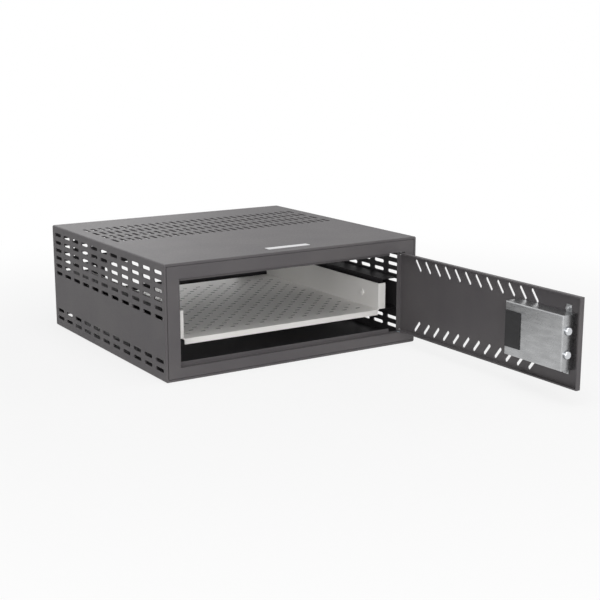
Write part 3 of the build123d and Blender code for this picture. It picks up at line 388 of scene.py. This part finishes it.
# %% Bright and black zinc plate
def zinc_plate(name, darker, lighter, smooth=0.24, rough=0.36, cloud_mm=6.0, along=0.2):
    """Zinc plate on rolled strip; returns the material and its clouded colour."""
    material = new_finish(name, {"Metallic": 1.0})
    rolled = grain(material, size_mm=0.8, depth_mm=0.01, strength=0.14, stretch=(1.0, 0.05, 1.0))
    vary_roughness(material, rolled, smooth, rough)
    return material, drift(material, (darker, lighter), cloud_mm, detail=4.0, stretch=(1.0, along, 1.0))


zinc, zinc_clouds = zinc_plate("zinc_plated_steel_bright", "#aaabac", "#b9babb")
feed(zinc, "Base Color", zinc_clouds)
dark_zinc, dark_clouds = zinc_plate("zinc_plated_steel_near_black", "#404041", "#4d4d4f")
feed(dark_zinc, "Base Color", dark_clouds)
print("zinc", zinc.name, "and", dark_zinc.name)

# %% [markdown]
# The middle members rub on their balls with every stroke, and wear leaves long dark and bright streaks on
# them. Such a member is a channel, and only its back stays clean. The side that faces the tray is painted
# nearly black, for the grease of both rows of balls and as painted shade in the narrow gap by the tray. A
# face belongs to that side where its normal points back towards the middle of the cabinet, so the product of
# the two x values is negative: about -0.19 for a flat face of either member.

# %% Worn zinc plate with black grease and painted shade
towards_tray_limit = -0.05

worn_and_shaded_zinc, worn_clouds = zinc_plate(
    "zinc_plated_steel_worn_and_shaded", "#737374", "#e8e8e9", smooth=0.4, rough=0.5, cloud_mm=2.4, along=0.03
)
worn_place = add_node(worn_and_shaded_zinc, "ShaderNodeTexCoord")
worn_facing = add_node(worn_and_shaded_zinc, "ShaderNodeNewGeometry")
worn_x = add_node(worn_and_shaded_zinc, "ShaderNodeSeparateXYZ", links={"Vector": worn_place.outputs["Object"]})
worn_facing_x = add_node(
    worn_and_shaded_zinc, "ShaderNodeSeparateXYZ", links={"Vector": worn_facing.outputs["True Normal"]}
)
towards_tray = add_node(
    worn_and_shaded_zinc, "ShaderNodeMath", links={0: worn_facing_x.outputs["X"], 1: worn_x.outputs["X"]},
    operation="MULTIPLY"
)
grease_and_shade_side = add_node(
    worn_and_shaded_zinc, "ShaderNodeMath", {1: towards_tray_limit}, {0: towards_tray.outputs[0]},
    operation="LESS_THAN"
)
# Grease and painted shade: the side towards the tray is mixed to near black.
worn_and_shaded_colour = add_node(
    worn_and_shaded_zinc, "ShaderNodeMix", {mix_masked: linear("#3a3939")},
    {"Factor": grease_and_shade_side.outputs[0], mix_plain: worn_clouds}, data_type="RGBA"
)
feed(worn_and_shaded_zinc, "Base Color", worn_and_shaded_colour.outputs[mix_result])
print("zinc", worn_and_shaded_zinc.name)

# %% [markdown]
# The inner members carry their balls in two tracks, above and below the flat web. The factory greases the
# tracks, and the grease soon turns dark and dulls the plate. The tracks are painted darker for that grease
# and as painted shade under the channel's lips, most of all the lower one, where grease gathers and the
# upper lip's shade falls. A band of the strip's height, measured from the middle of the slide, tells web
# from tracks, and its edge is a little soft, as grease and shade thin out.

# %% Zinc plate with grease and painted shade in the ball tracks
track_above = 0.0078
track_below = 0.0068
upper_softness = 0.0003
lower_softness = 0.0004

slide_low, slide_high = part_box("slide_inner_left")
slide_z = (slide_low.z + slide_high.z) / 2
shaded_greased_zinc, inner_clouds = zinc_plate("zinc_plated_steel_greased_and_shaded", "#d7d6d6", "#e2e1e1")
track_place = add_node(shaded_greased_zinc, "ShaderNodeTexCoord")
track_height = add_node(
    shaded_greased_zinc, "ShaderNodeSeparateXYZ", links={"Vector": track_place.outputs["Object"]}
)
tracks = []
for edge, softness in ((track_above, upper_softness), (-track_below, -lower_softness)):
    track = add_node(
        shaded_greased_zinc, "ShaderNodeMapRange",
        {"From Min": slide_z + edge - softness, "From Max": slide_z + edge + softness},
        {"Value": track_height.outputs["Z"]}
    )
    tracks.append(track.outputs["Result"])
grease_and_shade_tracks = add_node(
    shaded_greased_zinc, "ShaderNodeMath", links={0: tracks[0], 1: tracks[1]}, operation="MAXIMUM"
)
# Grease and painted shade: the ball tracks are mixed to a dark grey.
grease_and_shade_colour = add_node(
    shaded_greased_zinc, "ShaderNodeMix", {mix_masked: linear("#626161")},
    {"Factor": grease_and_shade_tracks.outputs[0], mix_plain: inner_clouds}, data_type="RGBA"
)
feed(shaded_greased_zinc, "Base Color", grease_and_shade_colour.outputs[mix_result])
print("zinc", shaded_greased_zinc.name, "about", round(1000 * slide_z, 1), "mm up")

# %% [markdown]
# The bolts, the lock cylinder and the pinion are ground steel with a thin chrome plate: almost a
# mirror, with grinding marks round or along the bar that pull each highlight into a streak. An
# anisotropic shader would give streaks too, but stretched grain also shows the marks themselves.

# %% Ground steel
ground_steel = new_finish("ground_steel_chromed", {"Base Color": linear("#d0d2d5"), "Metallic": 1.0})
marks = grain(ground_steel, size_mm=0.5, depth_mm=0.01, strength=0.2, stretch=(1.0, 0.1, 1.0))
vary_roughness(ground_steel, marks, smooth=0.1, rough=0.24)
print("steel", ground_steel.name)

# %% [markdown]
# The override lock's plug is turned brass. The lathe leaves rings about the plug's axis, which stand
# 0.6 mm apart here so that they show. A Wave texture draws such rings about its own origin, so its
# coordinates are moved to the plug first. Its sine runs through 20 radians for each unit of distance,
# which makes 20 / tau rings.

# %% Turned brass
ring_mm = 0.6
ring_depth_mm = 0.03
rings_per_unit = 20 / math.tau

brass = new_finish("turned_brass", {"Base Color": linear("#c2a05a"), "Metallic": 1.0, "Roughness": 0.28})
plug_low, plug_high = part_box("key_plug")
plug_middle = (plug_low + plug_high) / 2
brass_place = add_node(brass, "ShaderNodeTexCoord")
about_plug = add_node(
    brass, "ShaderNodeMapping", {"Location": (0.0, -plug_middle.y, -plug_middle.z)},
    {"Vector": brass_place.outputs["Object"]}
)
rings = add_node(
    brass, "ShaderNodeTexWave", {"Scale": per_metre(ring_mm) / rings_per_unit, "Distortion": 0.3},
    {"Vector": about_plug.outputs["Vector"]}, wave_type="RINGS", rings_direction="X"
)
ring_relief = add_node(
    brass, "ShaderNodeBump", {"Strength": 0.3, "Distance": ring_depth_mm / 1000},
    {"Height": rings.outputs["Fac"]}
)
feed(brass, "Normal", ring_relief.outputs["Normal"])
print("brass about", [round(value, 4) for value in plug_middle])

# %% [markdown]
# The lock's housing and flip cover are injection-moulded ABS in a cool off-white with a breath of
# lilac. ABS lets a little light in below its skin, which softens the shadow edges, and the mould's
# fine spark finish makes it satin and not glossy.

# %% Off-white ABS
abs_white = new_finish(
    "moulded_abs_offwhite", {"IOR": 1.52, "Subsurface Weight": 0.08, "Subsurface Scale": 0.0015}
)
feed(abs_white, "Base Color", drift(abs_white, ("#cbc2ca", "#d0c9ce"), size_mm=40.0))
spark = grain(abs_white, size_mm=0.9, depth_mm=0.02, strength=0.12)
vary_roughness(abs_white, spark, smooth=0.32, rough=0.42)
print("plastic", abs_white.name)

# %% [markdown]
# Small black pieces, such as the slides' stops and the keypad plate, are moulded glass-filled nylon:
# near black, matt, with faint pale flow marks from the fibres in it. The marks run the way the plastic
# flowed, so their pattern is drawn out along the mould.

# %% Black nylon
nylon_black = new_finish("moulded_nylon_black", {"IOR": 1.53})
flow_marks = drift(nylon_black, ("#0f0f11", "#1a1a1c"), size_mm=6.0, stretch=(1.0, 0.3, 1.0))
feed(nylon_black, "Base Color", flow_marks)
fibres = grain(nylon_black, size_mm=0.7, depth_mm=0.03, strength=0.3)
vary_roughness(nylon_black, fibres, smooth=0.42, rough=0.58)
print("plastic", nylon_black.name)

# %% [markdown]
# The washer under the door is natural nylon, waxy and slightly see-through, so it gets more light
# below its skin than the ABS.

# %% Natural nylon
nylon_pale = new_finish(
    "turned_nylon_natural",
    {
        "Base Color": linear("#e4e1d6"), "Roughness": 0.4, "IOR": 1.53,
        "Subsurface Weight": 0.25, "Subsurface Scale": 0.002
    }
)
grain(nylon_pale, size_mm=1.2, depth_mm=0.03, strength=0.15)
print("plastic", nylon_pale.name)

# %% [markdown]
# The keys are moulded silicone rubber. It has hardly any gloss, and a soft bright rim where the
# surface turns away, which a little sheen gives.

# %% Silicone rubber
silicone = new_finish("moulded_silicone_grey", {"IOR": 1.41, "Sheen Weight": 0.25, "Sheen Roughness": 0.5})
feed(silicone, "Base Color", drift(silicone, ("#515357", "#595b5f"), size_mm=9.0))
dust = grain(silicone, size_mm=0.8, depth_mm=0.02, strength=0.2)
vary_roughness(silicone, dust, smooth=0.55, rough=0.68)
print("rubber", silicone.name)

# %% [markdown]
# The two status lenses are smoked acrylic, moulded in a polished tool. Acrylic is nearly as smooth as
# glass. A grey paint would look dull in its place, so the shader lets some light through.

# %% Smoked acrylic
smoked_lens = new_finish(
    "moulded_acrylic_smoked",
    {"Base Color": linear("#3a4f3f"), "Roughness": 0.08, "IOR": 1.49, "Transmission Weight": 0.35}
)
grain(smoked_lens, size_mm=2.0, depth_mm=0.01, strength=0.1)
print("lens", smoked_lens.name)

# %% [markdown]
# The circuit board behind the keys is glass-filled epoxy under a green mask. The etched copper shows
# through the mask as paler lanes that stand a little high. Its real layout could be drawn, but hardly
# any of it is ever seen, so a noise that jumps between two greens stands for it.

# %% Etched circuit board
green_board = new_finish("etched_glass_epoxy_green", {"Roughness": 0.35, "IOR": 1.5})
copper_lanes = drift(green_board, ("#1c5230", "#2b6b3f"), size_mm=2.5, stops=(0.47, 0.5))
feed(green_board, "Base Color", copper_lanes)
grain(green_board, size_mm=2.5, depth_mm=0.05, strength=0.4)
print("board", green_board.name)

# %% [markdown]
# The block battery wears a printed sleeve, drawn tight over its metal can. The sleeve is smooth and
# slightly glossy, and its blue grey print shifts a little in broad bands.

# %% Printed battery sleeve
battery_sleeve = new_finish("printed_sleeve_blue_grey", {"Roughness": 0.3, "IOR": 1.5})
bands = drift(battery_sleeve, ("#465462", "#55636f"), size_mm=20.0, stretch=(0.2, 0.2, 1.0))
feed(battery_sleeve, "Base Color", bands)
grain(battery_sleeve, size_mm=1.0, depth_mm=0.02, strength=0.1)
print("sleeve", battery_sleeve.name)

# %% [markdown]
# The motor's can is deep drawn from steel sheet and left bare. The tool drags fine lines along its
# length, so the highlight spreads out across them.

# %% Drawn steel can
motor_can = new_finish("drawn_steel_can", {"Base Color": linear("#aeb1b4"), "Metallic": 1.0})
drawn = grain(motor_can, size_mm=0.6, depth_mm=0.02, strength=0.3, stretch=(1.0, 1.0, 0.05))
vary_roughness(motor_can, drawn, smooth=0.22, rough=0.4)
print("can", motor_can.name)

# %% [markdown]
# The bare plate on the top is satin aluminium, brushed along its length. The brush leaves long fine
# lines, which keep the plate pale from most sides where polished metal would turn dark.

# %% Brushed aluminium
brushed_plate = new_finish("brushed_aluminium_satin", {"Base Color": linear("#cfcfd0"), "Metallic": 1.0})
brushed = grain(brushed_plate, size_mm=0.5, depth_mm=0.02, strength=0.35, stretch=(0.03, 1.0, 1.0))
vary_roughness(brushed_plate, brushed, smooth=0.36, rough=0.52)
print("plate", brushed_plate.name)

# %% [markdown]
# Every CAD piece takes its finish from its slot in the record, so one small table dresses them all.
# A few pieces then get a finer finish: the slides' members, their brackets, the tray's punched floor,
# and the screws in the tray's walls, whose heads are coated together with the tray.

# %% Dress the CAD pieces
slot_finish = {
    "cabinet_coat": coat, "tray_coat": pale_coat, "zinc_plate": zinc, "bright_steel": ground_steel,
    "brass": brass, "black_plastic": nylon_black, "white_plastic": abs_white, "nylon": nylon_pale,
    "key_rubber": silicone, "lens": smoked_lens, "board": green_board, "battery_label": battery_sleeve,
    "motor_can": motor_can, "label_plate": brushed_plate,
}
node_slot = {row["node"]: row["material_slot"] for row in frame["record"]["subparts"]}


def dress(piece, finish):
    """Gives a piece one finish all over."""
    piece.data.materials.clear()
    piece.data.materials.append(finish)


for name, piece in frame["nodes"].items():
    dress(piece, slot_finish[node_slot[name]])
dress(frame["nodes"]["tray_floor"], punched_coat)
dress(frame["nodes"]["tray_screws"], pale_coat)
for side in ("left", "right"):
    dress(frame["nodes"]["slide_bracket_" + side], black_coat)
    dress(frame["nodes"]["slide_inner_" + side], shaded_greased_zinc)
    dress(frame["nodes"]["slide_middle_" + side], worn_and_shaded_zinc)
    dress(frame["nodes"]["slide_outer_" + side], dark_zinc)
print("dressed", len(frame["nodes"]), "pieces")

# %% [markdown]
# The CAD model leaves a few small details to this script. They could be modelled by hand in Edit Mode,
# but a drawing is easier to check. So each is an outline on the face that carries it, in millimetres
# from a corner or a middle, which is given a thickness and has its edges rounded.

# %% Flat pieces
round_steps = 3


def flat_piece(name, outline, place, along, up, thickness, round_mm, finish, body, slot):
    """Extrudes an outline from a place along its own normal, rounds the edges and puts it on a body."""
    along, up = Vector(along), Vector(up)
    normal = along.cross(up)
    mesh = bmesh.new()
    corners = [mesh.verts.new(Vector(place) + (along * a + up * b) / 1000) for a, b in outline]
    face = mesh.faces.new(corners)
    raised = bmesh.ops.extrude_face_region(mesh, geom=[face])["geom"]
    moved = [item for item in raised if isinstance(item, bmesh.types.BMVert)]
    bmesh.ops.translate(mesh, verts=moved, vec=normal * thickness / 1000)
    bmesh.ops.recalc_face_normals(mesh, faces=mesh.faces)
    if round_mm:
        bmesh.ops.bevel(
            mesh, geom=list(mesh.edges), offset=round_mm / 1000, segments=round_steps, profile=0.5,
            affect="EDGES", clamp_overlap=True
        )
    data = bpy.data.meshes.new(name)
    mesh.to_mesh(data)
    mesh.free()
    piece = bpy.data.objects.new(name, data)
    bpy.context.scene.collection.objects.link(piece)
    dress(piece, finish)
    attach(piece, body)
    return piece


def joined(name, pieces):
    """Joins several pieces of one body into the first, under a new name."""
    whole = bmesh.new()
    for piece in pieces:
        whole.from_mesh(piece.data)
    kept = pieces[0]
    whole.to_mesh(kept.data)
    whole.free()
    for piece in pieces[1:]:
        bpy.data.objects.remove(piece)
    kept.name = name
    return kept


def disc(radius_mm, count=32):
    """The outline of a round piece."""
    turns = [2 * math.pi * step / count for step in range(count)]
    return [(radius_mm * math.cos(turn), radius_mm * math.sin(turn)) for turn in turns]


# %% [markdown]
# A black moulded stop is clipped on the front end of each middle member, and takes the knock when the
# tray runs home. It has two prongs that reach back, stepped ends that snap into the channel, and a
# bright rivet through a low boss. All of that is one thin pad in the gap between the middle and the
# outer member, which is 1.4 mm wide, and a solid nose fills the end of the channel. Pad, nose and boss
# are drawn one by one and then joined, because they are one moulding. The pad is the same above and
# below its middle, so half of its outline is enough.

# %% A stop of a slide
upper_half = [
    (15.5, 4), (20, 4), (20, 8.5), (17, 8.5), (17, 12), (14, 12), (14, 9.6), (11.5, 9.6), (11.5, 12), (0, 12)
]
lower_half = [(across, -height) for across, height in reversed(upper_half)]
stop_outline = lower_half + upper_half
nose_outline = [(0, -12), (9, -12), (9, 12), (0, 12)]
stop_thickness = 1.0
stop_rounding = 0.25
nose_rounding = 0.5
rivet_from_front = 8.0
boss_radius, boss_start, boss_height, boss_rounding = 3.4, 0.9, 0.25, 0.08
head_radius, head_start, head_height, head_rounding = 1.9, 1.0, 0.3, 0.1


def slide_stop(side, sign, web_x, nose_x, front_y, middle_z):
    """The stop at the front end of one middle member, and the head of its rivet."""
    on_side = {"along": (0, 1, 0), "up": (0, 0, sign), "body": "middle_" + side}
    plastic = {"finish": nylon_black, "slot": "black_plastic"}
    rivet_y = front_y + rivet_from_front / 1000
    pad = flat_piece(
        "slide_stop_" + side, stop_outline, (web_x, front_y, middle_z), thickness=stop_thickness,
        round_mm=stop_rounding, **on_side, **plastic
    )
    nose = flat_piece(
        "slide_nose_" + side, nose_outline, (nose_x, front_y, middle_z),
        thickness=abs(web_x - nose_x) * 1000, round_mm=nose_rounding, **on_side, **plastic
    )
    boss = flat_piece(
        "slide_boss_" + side, disc(boss_radius), (web_x + sign * boss_start / 1000, rivet_y, middle_z),
        thickness=boss_height, round_mm=boss_rounding, **on_side, **plastic
    )
    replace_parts(joined("slide_stop_" + side, [pad, nose, boss]), "slide_bumper_" + side)
    flat_piece(
        "slide_stop_rivet_" + side, disc(head_radius),
        (web_x + sign * head_start / 1000, rivet_y, middle_z), thickness=head_height,
        round_mm=head_rounding, finish=ground_steel, slot="bright_steel", **on_side
    )


# %% [markdown]
# Behind each stop a bowed leaf of spring steel keeps the member from rattling. Its outline is half a
# wave of a sine, once out and once back at the thickness of the sheet. It is drawn from its end and
# extruded along its height.

# %% Stops and leaf springs of both slides
leaf_behind = 2.0
leaf_length = 6.5
leaf_height = 21.0
leaf_sheet = 0.3
leaf_bow = 0.75
leaf_steps = 12

shares = [step / leaf_steps for step in range(leaf_steps + 1)]
bow = [(leaf_length * share, leaf_bow * math.sin(math.pi * share)) for share in shares]
leaf_outline = bow + [(across, out + leaf_sheet) for across, out in reversed(bow)]


def slide_leaf(side, sign, web_x, start_y, middle_z):
    """The leaf spring behind one stop."""
    flat_piece(
        "slide_leaf_" + side, leaf_outline, (web_x, start_y, middle_z + sign * leaf_height / 2000),
        along=(0, 1, 0), up=(sign, 0, 0), thickness=leaf_height, round_mm=0.0, finish=ground_steel,
        body="middle_" + side, slot="bright_steel"
    )


for side, sign in (("left", -1), ("right", 1)):
    low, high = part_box("slide_bumper_" + side)
    outer_x, nose_x = (low.x, high.x) if sign < 0 else (high.x, low.x)
    web_x = outer_x - sign * stop_thickness / 1000
    middle_z = (low.z + high.z) / 2
    slide_stop(side, sign, web_x, nose_x, low.y, middle_z)
    slide_leaf(side, sign, web_x, high.y + leaf_behind / 1000, middle_z)
    print(side, "stop from", round(1000 * nose_x, 2), "to", round(1000 * outer_x, 2), "mm")

# %% [markdown]
# The flip cover carries a small dark window low on its left. It could be painted on by a mask, but a
# thin plate with rounded edges catches its own light, and stays a piece when the model is exported. A
# ray that is shot at the cover finds the face that the window lies on.

# %% Window in the flip cover
window_width = 19.0
window_height = 4.0
window_corner = 0.8
window_from_left = 24.5
window_from_foot = 11.0
window_sunk = 0.1
window_proud = 0.25
window_rounding = 0.08
ray_gap = 0.01


def rounded_plate(width, height, radius, count=6):
    """The outline of a plate with rounded corners, about its middle."""
    points = []
    for corner_x, corner_y, first in ((1, 1, 0), (-1, 1, 90), (-1, -1, 180), (1, -1, 270)):
        for step in range(count + 1):
            turn = math.radians(first + 90 * step / count)
            across = corner_x * (width / 2 - radius) + radius * math.cos(turn)
            points.append((across, corner_y * (height / 2 - radius) + radius * math.sin(turn)))
    return points


cover_low, cover_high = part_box("lock_cover")
window_y = cover_low.y + (window_from_left + window_width / 2) / 1000
window_z = cover_low.z + window_from_foot / 1000
ray_start = Vector((cover_high.x + ray_gap, window_y, window_z))
cover_face = frame["nodes"]["lock_cover"].ray_cast(ray_start, Vector((-1, 0, 0)))[1]
flat_piece(
    "cover_window", rounded_plate(window_width, window_height, window_corner),
    (cover_face.x - window_sunk / 1000, window_y, window_z), along=(0, 1, 0), up=(0, 0, 1),
    thickness=window_proud + window_sunk, round_mm=window_rounding, finish=nylon_black, body="cover",
    slot="black_plastic"
)
print("window at", [round(value, 4) for value in cover_face])

# %% [markdown]
# The keys have printed legends: plain numbers, a star and a hash, in white ink that sinks into the
# rubber a little and stands a tenth of a millimetre proud. Letters on a texture would blur in a close
# view, so these are text objects. A font's size is that of a whole line, which is about 1.4 times as
# tall as a digit, and a text is extruded both ways, by half of its thickness.

# %% Legends of the keys
legend_height = 0.0052
line_to_digit = 1.4
ink_half_thickness = 0.00008
upright_facing_x = (math.pi / 2, 0.0, math.pi / 2)
signs = {"star": "*", "hash": "#"}

ink = new_finish("printed_ink_white", {"Base Color": linear("#e9e9e7"), "Roughness": 0.5, "IOR": 1.5})
grain(ink, size_mm=0.4, depth_mm=0.01, strength=0.1)
key_nodes = [node for node in frame["nodes"] if node_slot[node] == "key_rubber"]
for name in key_nodes:
    mark = name.removeprefix("key_")
    low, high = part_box(name)
    text_data = bpy.data.curves.new("legend_" + mark, "FONT")
    text_data.body = signs.get(mark, mark)
    text_data.size = legend_height * line_to_digit
    text_data.extrude = ink_half_thickness
    text_data.align_x = "CENTER"
    text_data.align_y = "CENTER"
    legend = bpy.data.objects.new("legend_" + mark, text_data)
    bpy.context.scene.collection.objects.link(legend)
    legend.rotation_mode = "XYZ"
    legend.rotation_euler = upright_facing_x
    legend.location = (high.x + ink_half_thickness / 2, (low.y + high.y) / 2, (low.z + high.z) / 2)
    dress(legend, ink)
    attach(legend, name)
print("legends on", len(key_nodes), "keys,", round(1000 * legend_height, 1), "mm tall")

# %% [markdown]
# The studio's floor and its surroundings turn nearly white for the camera and for reflections. More
# light would do that too, but would bleach the box as well. So they shine by their own colour where a
# ray looks straight at them, and give the box hardly any light. The floor fades to that white with the
# distance from the box, and keeps the shadow under it.

# %% White surroundings
def seen_directly(material):
    """One where the camera, a reflection or clear plastic looks, and nought for the light that falls."""
    path = add_node(material, "ShaderNodeLightPath")
    either = add_node(
        material, "ShaderNodeMath", operation="MAXIMUM",
        links={0: path.outputs["Is Camera Ray"], 1: path.outputs["Is Glossy Ray"]}
    )
    return add_node(
        material, "ShaderNodeMath", operation="MAXIMUM",
        links={0: either.outputs[0], 1: path.outputs["Is Transmission Ray"]}
    ).outputs[0]


ambient = 0.1

world = bpy.data.worlds.new("studio")
world.use_nodes = True
bpy.context.scene.world = world
world_light = add_node(world, "ShaderNodeMapRange", {"To Min": ambient}, {"Value": seen_directly(world)})
background = world.node_tree.nodes["Background"]
background.inputs["Color"].default_value = linear("#ffffff")
world.node_tree.links.new(world_light.outputs["Result"], background.inputs["Strength"])
print("world light", ambient)

# %% [markdown]
# The floor is one large square of matt paper. It lies a hair below the box, because two faces at the
# same height would flicker, and its middle is under the middle of the box with its open door.

# %% Paper floor
floor_size = 30.0
floor_place = (0.0, -0.2, -0.0004)
fade_start = 0.45
fade_end = 1.3
paper_lift = 0.8

half = floor_size / 2
floor_corners = [(-half, -half, 0), (half, -half, 0), (half, half, 0), (-half, half, 0)]
floor_mesh = bpy.data.meshes.new("floor")
floor_mesh.from_pydata(floor_corners, [], [(0, 1, 2, 3)])
floor = bpy.data.objects.new("floor", floor_mesh)
bpy.context.scene.collection.objects.link(floor)
floor.location = floor_place

paper = new_finish("paper_floor", {"Base Color": linear("#f4f4f4"), "Roughness": 0.9})
paper_place = add_node(paper, "ShaderNodeTexCoord")
away = add_node(
    paper, "ShaderNodeVectorMath", links={0: paper_place.outputs["Object"]}, operation="LENGTH"
)
fade = add_node(
    paper, "ShaderNodeMapRange", {"From Min": fade_start, "From Max": fade_end, "To Min": paper_lift},
    {"Value": away.outputs["Value"]}, interpolation_type="SMOOTHSTEP"
)
shown = add_node(
    paper, "ShaderNodeMath", links={0: fade.outputs["Result"], 1: seen_directly(paper)},
    operation="MULTIPLY"
)
white = add_node(paper, "ShaderNodeEmission", {"Color": linear("#ffffff"), "Strength": 1.0})
floor_mix = add_node(
    paper, "ShaderNodeMixShader",
    links={
        0: shown.outputs[0], 1: paper.node_tree.nodes["Principled BSDF"].outputs["BSDF"],
        2: white.outputs["Emission"]
    }
)
paper_end = paper.node_tree.nodes["Material Output"]
paper.node_tree.links.new(floor_mix.outputs[0], paper_end.inputs["Surface"])
dress(floor, paper)
print("floor", floor_size, "m wide")

# %% [markdown]
# The studio has a large soft light above, one low from the front left and a weaker one from the front.
# Two more at the right and the back hardly show in this view, and keep the far sides from sinking into
# black in the others. Satin sheet metal needs large lamps, because a small one would burn a hard spot
# into every bend. Each row gives a lamp's place and width in metres, and its power in watts.

# %% Lamps
lamp_target = Vector((0.0, -0.1, 0.1))
lamps = {
    "lamp_above": ((-0.3, -0.7, 2.4), 2.2, 30.0),
    "lamp_left": ((-1.8, -2.3, 0.7), 1.8, 26.0),
    "lamp_front": ((-0.4, -2.8, 0.6), 1.8, 22.0),
    "lamp_right": ((2.6, -0.9, 0.9), 1.8, 14.0),
    "lamp_back": ((0.4, 2.8, 0.9), 1.8, 14.0),
}

for name, (place, width, watts) in lamps.items():
    lamp_data = bpy.data.lights.new(name, "AREA")
    lamp_data.shape = "SQUARE"
    lamp_data.size = width
    lamp_data.energy = watts
    lamp = bpy.data.objects.new(name, lamp_data)
    lamp.location = place
    lamp.rotation_mode = "QUATERNION"
    lamp.rotation_quaternion = (lamp_target - Vector(place)).to_track_quat("-Z", "Y")
    bpy.context.scene.collection.objects.link(lamp)
print("lamps", len(lamps))
